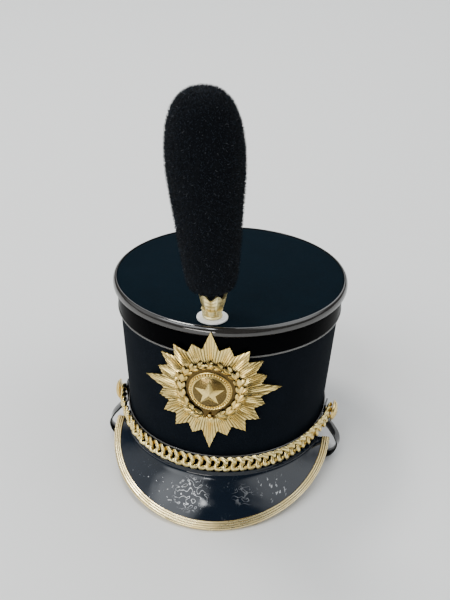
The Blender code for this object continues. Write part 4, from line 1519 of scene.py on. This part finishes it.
@dataclass
class FrontPlate(HatPart):
    """The gilt plate on the front: fluted rays, a laurel wreath and a boss with a star.

    Each row of ``boss_brim`` gives a radius as a share of the boss's and a height over the ground
    in millimetres.
    """

    metal: GiltMetal = GiltMetal("plate_gilt", has_relief=True)
    width: float = 118.0 * MM
    height: float = 110.0 * MM
    below_top: float = 2.0 * MM
    sheet: float = 0.9 * MM
    ridge: float = 2.0 * MM
    spokes: int = 40
    long_rays: int = 4
    ray_lengths: Sequence[float] = (1.0, 0.70, 0.80, 0.68, 0.86, 0.70)
    ray_fade: tuple[float, float] = (26.5 * MM, 31.0 * MM)
    ray_rows: int = 22
    flutes_a_spoke: int = 6
    wreath_radius: float = 24.0 * MM
    branch_start: float = 0.07
    branch_run: float = 0.88
    leaf_rows: int = 10
    leaf_length: float = 10.2 * MM
    leaf_width: float = 4.5 * MM
    leaf_taper: float = 0.28
    leaf_lean: float = radians(32.3)
    leaf_aside: float = 0.9 * MM
    midrib_lift: float = 0.7 * MM
    boss_radius: float = 15.5 * MM
    boss_rise: float = 4.5 * MM
    boss_fall: float = 2.5 * MM
    boss_brim: Sequence[Point] = ((1.14, 0.2), (1.10, 0.7), (1.04, 0.3), (0.98, 0.9), (0.92, 1.4))
    dome_share: float = 0.86
    dome_rings: int = 24
    pricks: float = 0.35 * MM
    star_points: int = 5
    star_radius: float = 12.0 * MM
    star_notch: float = 5.0 * MM
    star_rise: float = 2.2 * MM
    star_wall: float = 0.9 * MM
    beads: int = 44
    bead_radius: float = 1.0 * MM
    bead_ring: float = 1.02
    bead_lift: float = 0.9 * MM

    @property
    def foot(self) -> float:
        """Height of the plate's lowest tip."""
        return self.form.height - self.below_top - self.height

    @property
    def ground(self) -> float:
        """Height of the plain ground that wreath and boss stand on."""
        return self.sheet + 0.3 * self.ridge

    def ray_length(self, spoke: int) -> float:
        """Give a spoke's length as a share of the plate's half size.

        Args:
            spoke: Number of the spoke, notches and tips counted by turns.

        Returns:
            The share.
        """
        sector = self.spokes // self.long_rays
        offset = spoke % sector
        return self.ray_lengths[min(offset, sector - offset)]

    def tip(self, spoke: int) -> Vector:
        """Give the outline's corner on a spoke.

        Args:
            spoke: Number of the spoke.

        Returns:
            The corner in the flat.
        """
        angle = 2 * pi * spoke / self.spokes
        share = self.ray_length(spoke) / 2
        return Vector((self.width * sin(angle) * share, self.height * cos(angle) * share, 0.0))

    def ray_wave(self, first: float) -> tuple[float, float]:
        """Tell how far up a ray and one of its flutes a place round the plate lies, 0 to 1.

        Args:
            first: Share round the plate, 0 to 1.

        Returns:
            The rise of the ray and of the flute, each 0 to 1.
        """
        spoke = first * self.spokes
        ridge = 1 - abs(spoke % 2 - 1)
        return 1 - ridge, 0.5 + 0.5 * cos(pi * spoke * self.flutes_a_spoke)

    def rays(self) -> Shape:
        """Shape the rays: each a ridge between two notches, cut with fine flutes.

        Returns:
            The rays in the flat, face to +Z.
        """
        inner = self.boss_radius
        faded, full = self.ray_fade

        def reach(first: float, second: float) -> Vector:
            """Give the place in the flat of a share round the plate and a share of the way out.

            Args:
                first: Share round the plate, 0 to 1.
                second: Share of the way out, 0 to 1.

            Returns:
                The place, at height 0.
            """
            spoke = first * self.spokes
            low = int(spoke + 1e-6)
            outer = self.tip(low % self.spokes).lerp(self.tip((low + 1) % self.spokes), spoke - low)
            return (outer.normalized() * inner).lerp(outer, second)

        def height(first: float, second: float) -> float:
            """Give the share of the full ridge that stands up here."""
            strength = (reach(first, second).length - faded) / (full - faded)
            return min(max(strength, 0.0), 1.0) * (1 - 0.6 * second**2)

        def place(first: float, second: float, side: float) -> Vector:
            """Give a point of the rays' face or back.

            Args:
                first: Share round the plate, 0 to 1.
                second: Share of the way out, 0 to 1.
                side: 0 on the face, 1 on the back.

            Returns:
                The point in the flat.
            """
            point = reach(first, second)
            if side < 0.5:
                ridge, flute = self.ray_wave(first)
                lift = self.ridge * (0.58 * ridge + 0.42 * flute)
                point.z = self.sheet + lift * height(first, second)
            return point

        def relief(first: float, second: float, side: float) -> float:
            """Tell how bright a point of the rays' face is painted: bright on the crests, dark in
            the flutes, partly browned and partly painted shade.

            Args:
                first: Share round the plate, 0 to 1.
                second: Share of the way out, 0 to 1.
                side: Not used.

            Returns:
                0 for dark and low to 1 for bright and high.
            """
            ridge, flute = self.ray_wave(first)
            rubbed_and_lit = 0.02 + 0.25 * ridge + 0.75 * flute**1.2
            # The flat ground under the wreath is set low, as painted shade.
            return rubbed_and_lit if height(first, second) > 0.02 else 0.05

        return moulded(self.spokes * self.flutes_a_spoke * 2, self.ray_rows, place, True, relief)

    def leaf(self, length: float, width: float) -> Shape:
        """Shape one laurel leaf: pointed, folded along its midrib and curled up at its tip.

        Args:
            length: Length of the leaf.
            width: Its greatest width.

        Returns:
            The leaf, its root at the origin and its tip along +X.
        """
        def spread(first: float) -> float:
            """Give the leaf's width at a share of its length."""
            return sin(pi * min(first * 0.94 + 0.06, 1.0)) ** 0.7

        def place(first: float, second: float, side: float) -> Vector:
            """Give a point of the leaf's face or underside.

            Args:
                first: Share along the leaf, 0 to 1.
                second: Share across it, 0 to 1.
                side: 0 on the face, 1 on the back.

            Returns:
                The point in the flat.
            """
            across = (2 * second - 1) * width / 2 * spread(first)
            fold = 0.34 * width * spread(first) * (1 - abs(2 * second - 1))
            rise = 0.15 * length * first**1.5
            height = (fold + rise) * (1 - side) + (rise - 0.3 * MM) * side
            return Vector((length * first, across, height))

        def relief(first: float, second: float, side: float) -> float:
            """Tell how bright the leaf is painted: dark at its root and in its veins, partly
            browned and partly painted shade, and dark below as painted shade.

            Args:
                first: Share along the leaf, 0 to 1.
                second: Share across it, 0 to 1.
                side: 0 on the face, 1 on the back.

            Returns:
                0 for dark and low to 1 for bright and high.
            """
            edge = abs(2 * second - 1)
            vein = 0.25 * (0.5 + 0.5 * cos(8 * pi * (first - 0.3 * edge))) * (edge > 0.1)
            return (0.85 * (1 - edge) ** 0.7 + 0.45 * first - vein) * (1 - side)

        return moulded(10, 6, place, True, relief)

    def wreath(self) -> list[Shape]:
        """Shape the wreath: two branches that rise from the foot and nearly meet above.

        Returns:
            The leaves in the flat.
        """
        leaves = []
        for side in Side:
            for row in range(self.leaf_rows):
                share = row / (self.leaf_rows - 1)
                angle = pi - (self.branch_start + self.branch_run * share) * pi
                size = 1.0 - self.leaf_taper * share**3
                for aside, lift in ((1, 0.0), (-1, 0.0), (0, self.midrib_lift)):
                    leaf = self.leaf(self.leaf_length * size, self.leaf_width * size)
                    turn = Matrix.Rotation(pi / 2 + aside * self.leaf_lean, 4, "Z")
                    out = self.wreath_radius + aside * self.leaf_aside
                    step = Matrix.Translation((out, 0, self.ground + lift))
                    around = Matrix.Rotation(pi / 2 - angle, 4, "Z")
                    bmesh.ops.transform(leaf, matrix=around @ step @ turn, verts=leaf.verts)
                    if side is Side.RIGHT:
                        bmesh.ops.scale(leaf, vec=(-1, 1, 1), verts=leaf.verts)
                        bmesh.ops.recalc_face_normals(leaf, faces=leaf.faces)
                    leaves.append(leaf)
        return leaves

    def bead(self, x: float, y: float, z: float, radius: float) -> Shape:
        """Shape one round bead, painted bright in front and dark behind as painted light and shade.

        Args:
            x: Place across the plate.
            y: Place up the plate.
            z: Height over the plate's back.
            radius: Radius of the bead.

        Returns:
            The bead with its relief.
        """
        shape = bmesh.new()
        layer = shape.verts.layers.float.new("relief")
        bmesh.ops.create_icosphere(shape, subdivisions=2, radius=radius)
        for vert in shape.verts:
            vert[layer] = 0.5 + 0.5 * vert.co.z / radius
        bmesh.ops.translate(shape, verts=shape.verts, vec=(x, y, z))
        return shape

    def boss(self) -> list[Shape]:
        """Shape the boss: a dark pricked dome in a ring of beads, with a faceted star on it.

        Returns:
            The dome, its beads and the star in the flat.
        """
        ground, top = self.ground, self.ground + self.boss_rise
        boss, dome_radius = self.boss_radius, self.dome_share * self.boss_radius
        outline = [(0.0, 0.0), (self.boss_brim[0][0] * boss, 0.0)]
        outline += [(share * boss, ground + rise * MM) for share, rise in self.boss_brim]
        for step in range(self.dome_rings):
            share = 1 - step / self.dome_rings
            outline.append((dome_radius * share, top - self.boss_fall * share**2))
        outline.append((0.0, top))
        dome = turned(outline, 120)
        layer = dome.verts.layers.float.new("relief")
        for vert in dome.verts:
            out = vert.co.xy.length / self.boss_radius
            pricked = noise.noise(Vector((vert.co.x, vert.co.y, 0.0)) * 1500.0)
            inside = vert.co.z > ground and out < self.dome_share
            raised = out > 1.07 or out < 0.97
            # The dome and the groove in the brim are set low and painted dark, the groove as
            # painted shade; the raised rings are set high.
            vert[layer] = 0.10 + 0.10 * pricked if inside else (0.95 if raised else 0.1)
            if inside:
                vert.co.z -= self.pricks * (0.5 + 0.5 * pricked)
        shapes = [dome]
        for index in range(self.beads):
            angle = 2 * pi * index / self.beads
            x, y = self.bead_ring * boss * cos(angle), self.bead_ring * boss * sin(angle)
            shapes.append(self.bead(x, y, ground + self.bead_lift, self.bead_radius))
        return shapes + [self.star()]

    def star(self) -> Shape:
        """Shape the star: a ridge along each arm, standing on the dome.

        Returns:
            The star in the flat.
        """
        star = bmesh.new()
        layer = star.verts.layers.float.new("relief")
        corners = []
        for index in range(2 * self.star_points):
            angle = pi * index / self.star_points
            radius = self.star_notch if index % 2 else self.star_radius
            corners.append(star.verts.new((radius * sin(angle), radius * cos(angle), 0.0)))
        base = star.faces.new(corners)
        top = bmesh.ops.extrude_face_region(star, geom=[base])["geom"]
        face = next(item for item in top if isinstance(item, bmesh.types.BMFace))
        bmesh.ops.translate(star, verts=face.verts, vec=(0, 0, self.star_wall))
        centre = bmesh.ops.poke(star, faces=[face])["verts"][0]
        centre.co.z += self.star_rise
        top_height = self.ground + self.boss_rise
        for vert in star.verts:
            share = vert.co.xy.length / (self.dome_share * self.boss_radius)
            vert.co.z += top_height - self.boss_fall * share**2 - 0.7 * MM
            vert[layer] = 1.0
        return sealed(star)

    def stand_off(self, height: float) -> float:
        """Tell how far the plate's back stands off: close at its foot, clear of the rim above.

        Args:
            height: Height over the crown's foot.

        Returns:
            The stand-off of the plate's back.
        """
        form = self.form
        low, high = 4 * form.clearance, form.rim_face + form.clearance
        return low + (high - low) * (height - self.foot) / (form.height - self.foot)

    def bend(self, shape: Shape) -> None:
        """Bend the plate, drawn flat with its face to +Z, round the front of the crown.

        Args:
            shape: The flat plate, which is changed.
        """
        form = self.form
        middle = self.foot + self.height / 2
        for vert in shape.verts:
            height = middle + vert.co.y
            turn = vert.co.x / (sum(form.half_axes(height)) / 2)
            out = form.axes(turn, height)[1]
            vert.co = form.point(turn, height) + out * (self.stand_off(height) + vert.co.z)

    def build(self) -> None:
        """Build the plate in one piece."""
        berries = [
            self.bead(x * MM, -self.wreath_radius + y * MM, self.ground + 1.2 * MM, 1.5 * MM)
            for x, y in ((0.0, 1.6), (-1.9, -1.2), (1.9, -1.2))
        ]
        shape = joined([self.rays()] + self.wreath() + berries + self.boss())
        self.bend(shape)
        look = self.metal.material()
        self.bench.piece("plate_relief", shape, look, Slot.GILT, ["front_plate"], 35.0)


@dataclass
class Pompon(HatPart):
    """The upright wool pompon, its gilt leaf cup and the white washer under it.

    Each row of ``outline`` gives a height as a share of the pompon's own and a radius as a share of
    its widest. Each row of ``hook`` gives one ring of a curl: how far up and over it lies as shares
    of the curl's length, and how thick it is there.
    """

    wool: CurledWool = CurledWool("clipped_wool")
    metal: GiltMetal = GiltMetal(
        "cup_gilt", (1.0, 0.90, 0.52), (0.58, 0.44, 0.17), 0.8, (0.36, 0.52), has_relief=True)
    leather: WhiteLeather = WhiteLeather("white_washer_leather")
    forward: float = 84.5 * MM
    aside: float = 2.0 * MM
    height: float = 168.0 * MM
    width: float = 63.0 * MM
    lean: float = radians(3.8)
    cup_height: float = 22.0 * MM
    cup_top: float = 21.0 * MM
    cup_foot: float = 15.6 * MM
    cup_wall: float = 1.0 * MM
    cup_leaves: int = 6
    cup_leaf_dip: float = 4.0 * MM
    cup_bead: float = 0.09
    cup_bead_rise: float = 0.9 * MM
    cup_tier: float = 0.38
    cup_fold: float = 1.5 * MM
    cup_curl: float = 1.5 * MM
    cup_ripple: float = 0.22 * MM
    cup_vein: float = 0.35 * MM
    cup_rows: int = 60
    cup_seat: float = 17.0 * MM
    washer_diameter: float = 25.0 * MM
    washer_thickness: float = 1.5 * MM
    curls: int = 10500
    curl_length: float = 2.6 * MM
    curl_thickness: float = 0.26 * MM
    inset: float = 1.6 * MM
    nap: float = 0.8 * MM
    neck: float = 0.042
    seed: int = 7
    hook: Sequence[tuple[float, float, float]] = (
        (0.00, 0.00, 1.00),
        (0.38, 0.06, 0.95),
        (0.62, 0.26, 0.80),
        (0.58, 0.50, 0.30),
    )
    outline: Sequence[Point] = (
        (0.030, 0.400),
        (0.070, 0.640),
        (0.160, 0.735),
        (0.270, 0.810),
        (0.390, 0.870),
        (0.510, 0.943),
        (0.630, 1.000),
        (0.750, 0.995),
        (0.860, 0.900),
        (0.945, 0.690),
        (0.990, 0.330),
        (1.000, 0.000),
    )

    @property
    def stand(self) -> Vector:
        """Place of the washer's underside on the flat top."""
        form = self.form
        return Vector((-self.aside, -self.forward, form.top_surface + form.clearance))

    @property
    def foot(self) -> float:
        """Height of the cup's foot over the washer's underside."""
        return self.washer_thickness + self.form.clearance

    def seat(self) -> Matrix:
        """Give the matrix that stands the wool in the cup, leaning a little."""
        place = self.stand + Vector((0, 0, self.foot + self.cup_seat))
        return Matrix.Translation(place) @ Matrix.Rotation(-self.lean, 4, "Y")

    def radius(self, share: float) -> float:
        """Give the wool's radius at a share of its height.

        Args:
            share: Share of the pompon's height.

        Returns:
            The radius.
        """
        if share < self.neck:
            return self.cup_top / 2 - self.cup_wall - 0.6 * MM
        full = smooth_between(self.outline, share)[0] * self.width / 2
        return max(full - self.inset * min((1 - share) / 0.05, 1.0), 0.0)

    def head_point(self, first: float, second: float) -> Vector:
        """Give a point of the smooth head, rows drawn together where its outline turns in.

        Args:
            first: Share round the head, 0 to 1.
            second: Share of the way up it, 0 to 1.

        Returns:
            The point in the pompon's own frame.
        """
        share = 1 - (1 - second) ** 1.35 if second > 0 else 0.0
        angle = 2 * pi * first
        radius = self.radius(share)
        return Vector((radius * cos(angle), radius * sin(angle), share * self.height))

    def build_wool(self) -> None:
        """Build the head of close wool and the curls that stand out from it."""
        look = self.wool.material()

        def place(first: float, second: float, side: float) -> Vector:
            """Give a point of the lumpy head.

            Args:
                first: Share round the head, 0 to 1.
                second: Share of the way up it, 0 to 1.
                side: Not used: the head is solid.

            Returns:
                The point in the pompon's own frame.
            """
            point = self.head_point(first % 1.0, second)
            if 0.04 < second < 0.999:
                lumps = noise.noise(point * 420.0) + 0.6 * noise.noise(point * 900.0)
                rise = 0.35 * (point.z - 0.6 * self.height)
                outwards = Vector((point.x, point.y, rise)).normalized()
                point += outwards * (self.nap * (lumps - 0.75))
            return point

        shape = moulded(170, 190, place)
        shade = shape.verts.layers.float.new("shade")
        bmesh.ops.transform(shape, matrix=self.seat(), verts=shape.verts)
        for vert in shape.verts:
            vert[shade] = 0.15
        self.bench.piece("pompon_wool", shape, look, Slot.WOOL, ["pompon"], 180.0)
        mesh = self.curl_mesh()
        self.bench.dress("pompon_curls", mesh, look, Slot.WOOL, [], 180.0)

    def curl_mesh(self) -> bpy.types.Mesh:
        """Make the curls: one short hook of wool, repeated by arrays over the head and joined.

        Returns:
            The mesh of all the curls, in its place at rest.
        """
        chance = np.random.default_rng(self.seed)
        golden = pi * (3 - 5**0.5)
        shares = np.linspace(0.0, 1.0, 400)
        radii = np.array([self.radius(share) for share in shares])
        slant = np.hypot(np.gradient(radii), np.gradient(shares) * self.height)
        area = np.cumsum(radii * slant)
        area = (area - area[0]) / (area[-1] - area[0])
        picks = np.interp((np.arange(self.curls) + 0.5) / self.curls, area, shares)
        picks = np.clip(picks, 0.056, 0.9995)
        turns = golden * np.arange(self.curls) + chance.normal(0, 0.05, self.curls)
        radius = np.interp(picks, shares, radii)
        slope = np.interp(picks, shares, np.gradient(radii, shares * self.height))
        radial = np.stack([np.cos(turns), np.sin(turns), np.zeros(self.curls)], axis=1)
        root = radial * radius[:, None]
        root[:, 2] = picks * self.height
        normal = radial.copy()
        normal[:, 2] = -slope
        normal /= np.linalg.norm(normal, axis=1)[:, None]
        root -= normal * 0.9 * MM
        level = np.cross(normal, [0.0, 0.0, 1.0]) + 1e-6
        level /= np.linalg.norm(level, axis=1)[:, None]
        spin = chance.uniform(0, 2 * pi, self.curls)[:, None]
        heading = level * np.cos(spin) + np.cross(normal, level) * np.sin(spin)
        length = (self.curl_length * chance.uniform(0.75, 1.25, self.curls))[:, None]
        side = np.cross(normal, heading)
        rings = []
        for up, over, thick in self.hook:
            middle = root + normal * (length * up) + heading * (length * over)
            for k in range(3):
                roll = 2 * pi * k / 3
                wide = self.curl_thickness * thick * cos(roll)
                deep = self.curl_thickness * thick * 0.6 * sin(roll)
                rings.append(middle + side * wide + normal * deep + heading * deep)
        verts = np.stack(rings, axis=1).reshape(-1, 3)
        faces = []
        for ring in range(3):
            for k in range(3):
                a, b = 3 * ring + k, 3 * ring + (k + 1) % 3
                faces.append((a, b, b + 3, a + 3))
        every = (np.array(faces)[None] + 12 * np.arange(self.curls)[:, None, None]).reshape(-1, 4)
        turn = np.array(self.bench.rest.matrix @ self.seat())
        verts = verts @ turn[:3, :3].T + turn[:3, 3]
        mesh = bpy.data.meshes.new("pompon_curls")
        mesh.from_pydata(verts.tolist(), [], every.tolist())
        shade = mesh.attributes.new("shade", "FLOAT", "POINT")
        shades = np.repeat(chance.uniform(0, 1, self.curls), 12)
        shade.data.foreach_set("value", shades.astype(np.float32))
        mesh.update()
        return mesh

    def cup_leaf(self, first: float, second: float) -> tuple[float, float]:
        """Find a place on the cup's leaves.

        Args:
            first: Share of the way round the cup.
            second: Share of the way up it.

        Returns:
            How near the middle of a leaf the place lies and how far up that leaf, each 0 to 1.
        """
        shift, low, high = (0.5, self.cup_bead, self.cup_tier) if second < self.cup_tier else \
            (0.0, self.cup_tier, 1.0)
        across = abs(((first * self.cup_leaves + shift) % 1.0) - 0.5) * 2
        return 1 - across, max((second - low) / (high - low), 0.0)

    def build_cup(self) -> None:
        """Build the cup: two tiers of veined leaves whose tips curl out, over a round bead."""
        low, high = 0.92 * self.cup_foot / 2, self.cup_top / 2
        wall, foot = self.cup_wall, self.foot

        def place(first: float, second: float, side: float) -> Vector:
            """Give a point of the cup's outer or inner face.

            Args:
                first: Share round the cup, 0 to 1.
                second: Share of the way up it, 0 to 1.
                side: 0 on the face, 1 on the back.

            Returns:
                The point in the cup's own frame.
            """
            angle = 2 * pi * first
            plain = low + (high - low) * second**1.2
            height = foot + self.cup_height * second
            tip = 0.5 - 0.5 * cos(self.cup_leaves * angle)
            height += self.cup_leaf_dip * (tip - 1) * second**3
            middle, up = self.cup_leaf(first, second)
            if side > 0.5:
                reach = plain - wall - 0.4 * MM
                height = max(height, foot + 0.4 * MM)
            elif second < self.cup_bead:
                reach = plain + self.cup_bead_rise * sin(pi * second / self.cup_bead) ** 0.5
            else:
                fold = self.cup_fold * (middle**0.6 * sin(pi * min(0.12 + 0.76 * up, 1.0)) - 0.5)
                curl = self.cup_curl * max(0.0, (up - 0.70) / 0.30) ** 1.5 * middle**0.4
                ripple = self.cup_ripple * sin(7 * pi * up) * (1 - middle) * middle * 4
                vein = self.cup_vein * max(0.0, 1 - 7 * (1 - middle))
                reach = plain + fold + curl + ripple + vein
            return Vector((reach * sin(angle), reach * cos(angle), height))

        def relief(first: float, second: float, side: float) -> float:
            """Tell how bright a point of the cup is painted: dark between the leaves, partly
            browned and partly painted shade, and dark inside as painted shade.

            Args:
                first: Share round the cup, 0 to 1.
                second: Share of the way up it, 0 to 1.
                side: 0 on the face, 1 on the back.

            Returns:
                0 for dark and low to 1 for bright and high.
            """
            middle, up = self.cup_leaf(first, second)
            if second < self.cup_bead:
                return 1 - side
            rubbed_and_lit = 1.7 * middle * (0.12 + 0.88 * up) + 0.4 * max(0.0, 1 - 5 * (1 - middle))
            lobes = 0.22 * (1 + sin(7 * pi * up)) * (1 - middle)
            return (rubbed_and_lit - lobes) * (1 - 0.8 * side)

        shape = moulded(24 * self.cup_leaves, self.cup_rows, place, True, relief)
        bmesh.ops.translate(shape, verts=shape.verts, vec=self.stand)
        self.bench.piece("leaf_cup", shape, self.metal.material(), Slot.GILT, ["pompon_cup"], 60.0)

    def build_washer(self) -> None:
        """Build the washer, its edge rounded over."""
        shape = bmesh.new()
        radius = self.washer_diameter / 2
        bmesh.ops.create_cone(
            shape, cap_ends=True, segments=72, depth=self.washer_thickness,
            radius1=radius, radius2=radius,
        )
        level = MM / 100
        rims = [e for e in shape.edges if abs(e.verts[0].co.z - e.verts[1].co.z) < level]
        bmesh.ops.bevel(
            shape, geom=rims, offset=0.4 * MM, offset_type="OFFSET", segments=3, profile=0.5,
            affect="EDGES", material=-1,
        )
        lift = self.stand + Vector((0, 0, self.washer_thickness / 2))
        bmesh.ops.translate(shape, verts=shape.verts, vec=lift)
        look = self.leather.material()
        self.bench.piece("white_washer", shape, look, Slot.WHITE, ["pompon_washer"])

    def build(self) -> None:
        """Build washer, cup and wool."""
        self.build_washer()
        self.build_cup()
        self.build_wool()


@dataclass
class Softbox:
    """One soft rectangular light, aimed at a point over the hat."""

    name: str
    place: tuple[float, float, float]
    size: tuple[float, float]
    power: float
    colour: Colour = (1.0, 1.0, 1.0)

    def hang(self, target: Vector) -> None:
        """Hang the light and aim it.

        Args:
            target: The point that it is aimed at.
        """
        lamp = bpy.data.lights.new(self.name, "AREA")
        lamp.shape = "RECTANGLE"
        lamp.size, lamp.size_y = self.size
        lamp.energy = self.power
        lamp.color = self.colour
        holder = bpy.data.objects.new(self.name, lamp)
        holder.location = self.place
        holder.rotation_euler = (target - Vector(self.place)).to_track_quat("-Z", "Y").to_euler()
        bpy.context.scene.collection.objects.link(holder)


@dataclass(frozen=True)
class Glow:
    """A soft bright patch of the studio's dim surround."""

    towards: tuple[float, float, float]
    inner_degrees: float
    outer_degrees: float
    strength: float


@dataclass
class Studio:
    """Pale floor, soft light and the camera at the photograph's angle."""

    camera_place: tuple[float, float, float] = (0.116, -0.750, 0.676)
    target: tuple[float, float, float] = (0.0, -0.004, 0.146)
    lens_mm: float = 66.0
    floor_size: float = 8.0
    sky: Colour = (0.95, 0.98, 1.0)
    dim: float = 0.15
    glows: Sequence[Glow] = (
        Glow((-0.48, -0.40, 0.78), 9.0, 26.0, 4.2),
        Glow((-0.80, -0.02, 0.60), 12.0, 34.0, 1.1),
        Glow((-0.14, -0.50, 0.85), 0.6, 4.5, 20.0),
        Glow((0.66, 0.08, 0.75), 9.0, 34.0, 2.4),
        Glow((0.0, 0.75, 0.66), 10.0, 40.0, 2.4),
    )
    lights: list[Softbox] = field(default_factory=lambda: [
        Softbox("key_light", (-0.55, 0.55, 1.60), (0.35, 0.35), 13.0, (1.0, 0.98, 0.95)),
        Softbox("front_light", (-0.50, -1.50, 0.35), (0.8, 0.3), 8.0, (1.0, 0.97, 0.92)),
    ])

    def build(self) -> None:
        """Build the floor, hang the lights and set up the camera."""
        self.build_floor()
        for light in self.lights:
            light.hang(Vector(self.target))
        self.light_sky()
        self.set_camera()

    def build_floor(self) -> None:
        """Lay the paper that the hat stands on."""
        sheet = bmesh.new()
        bmesh.ops.create_grid(sheet, x_segments=2, y_segments=2, size=self.floor_size / 2)
        mesh = bpy.data.meshes.new("floor_paper")
        sheet.to_mesh(mesh)
        sheet.free()
        mesh.materials.append(StudioPaper("pale_paper").material())
        floor = bpy.data.objects.new("floor_paper", mesh)
        bpy.context.scene.collection.objects.link(floor)

    def light_sky(self) -> None:
        """Light the studio dimly from all round, with a few soft glows."""
        world = bpy.data.worlds.new("studio")
        world.use_nodes = True
        tree = world.node_tree
        backdrop = tree.nodes["Background"]
        backdrop.inputs["Color"].default_value = (*self.sky, 1.0)
        heading = add_node(tree, "ShaderNodeTexCoord", "Generated", {})
        total: float | Socket = self.dim
        for glow in self.glows:
            inputs = {0: heading, 1: Vector(glow.towards).normalized()}
            facing = add_node(
                tree, "ShaderNodeVectorMath", "Value", inputs, operation="DOT_PRODUCT")
            inputs = {
                "Value": facing,
                "From Min": cos(radians(glow.outer_degrees)),
                "From Max": cos(radians(glow.inner_degrees)),
                "To Max": glow.strength,
            }
            soft = add_node(
                tree, "ShaderNodeMapRange", "Result", inputs, interpolation_type="SMOOTHSTEP")
            total = add_node(tree, "ShaderNodeMath", "Value", {0: soft, 1: total}, operation="ADD")
        tree.links.new(total, backdrop.inputs["Strength"])
        bpy.context.scene.world = world

    def set_camera(self) -> None:
        """Stand the camera where the photograph was taken from."""
        lens = bpy.data.cameras.new("camera")
        lens.lens = self.lens_mm
        lens.clip_start = 0.01
        camera = bpy.data.objects.new("camera", lens)
        camera.location = self.camera_place
        gaze = Vector(self.target) - Vector(self.camera_place)
        camera.rotation_euler = gaze.to_track_quat("-Z", "Y").to_euler()
        bpy.context.scene.collection.objects.link(camera)
        bpy.context.scene.camera = camera


def main() -> None:
    """Build every part of the hat and the studio round it."""
    logging.basicConfig(level=logging.INFO, format="%(name)s: %(message)s")
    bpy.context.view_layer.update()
    bench = Workbench(CrownForm(), Rest())
    buttons = SideButtons(bench)
    Studio().build()
    CrownCloth(bench).build()
    PatentBands(bench).build()
    Peak(bench).build()
    buttons.build()
    CurbChain(bench, buttons).build()
    ChinStrap(bench, buttons).build()
    FrontPlate(bench).build()
    Pompon(bench).build()
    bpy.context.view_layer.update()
    log.info("hat leans back by %.1f degrees", degrees(bench.rest.tilt))


if __name__ == "__main__":
    main()
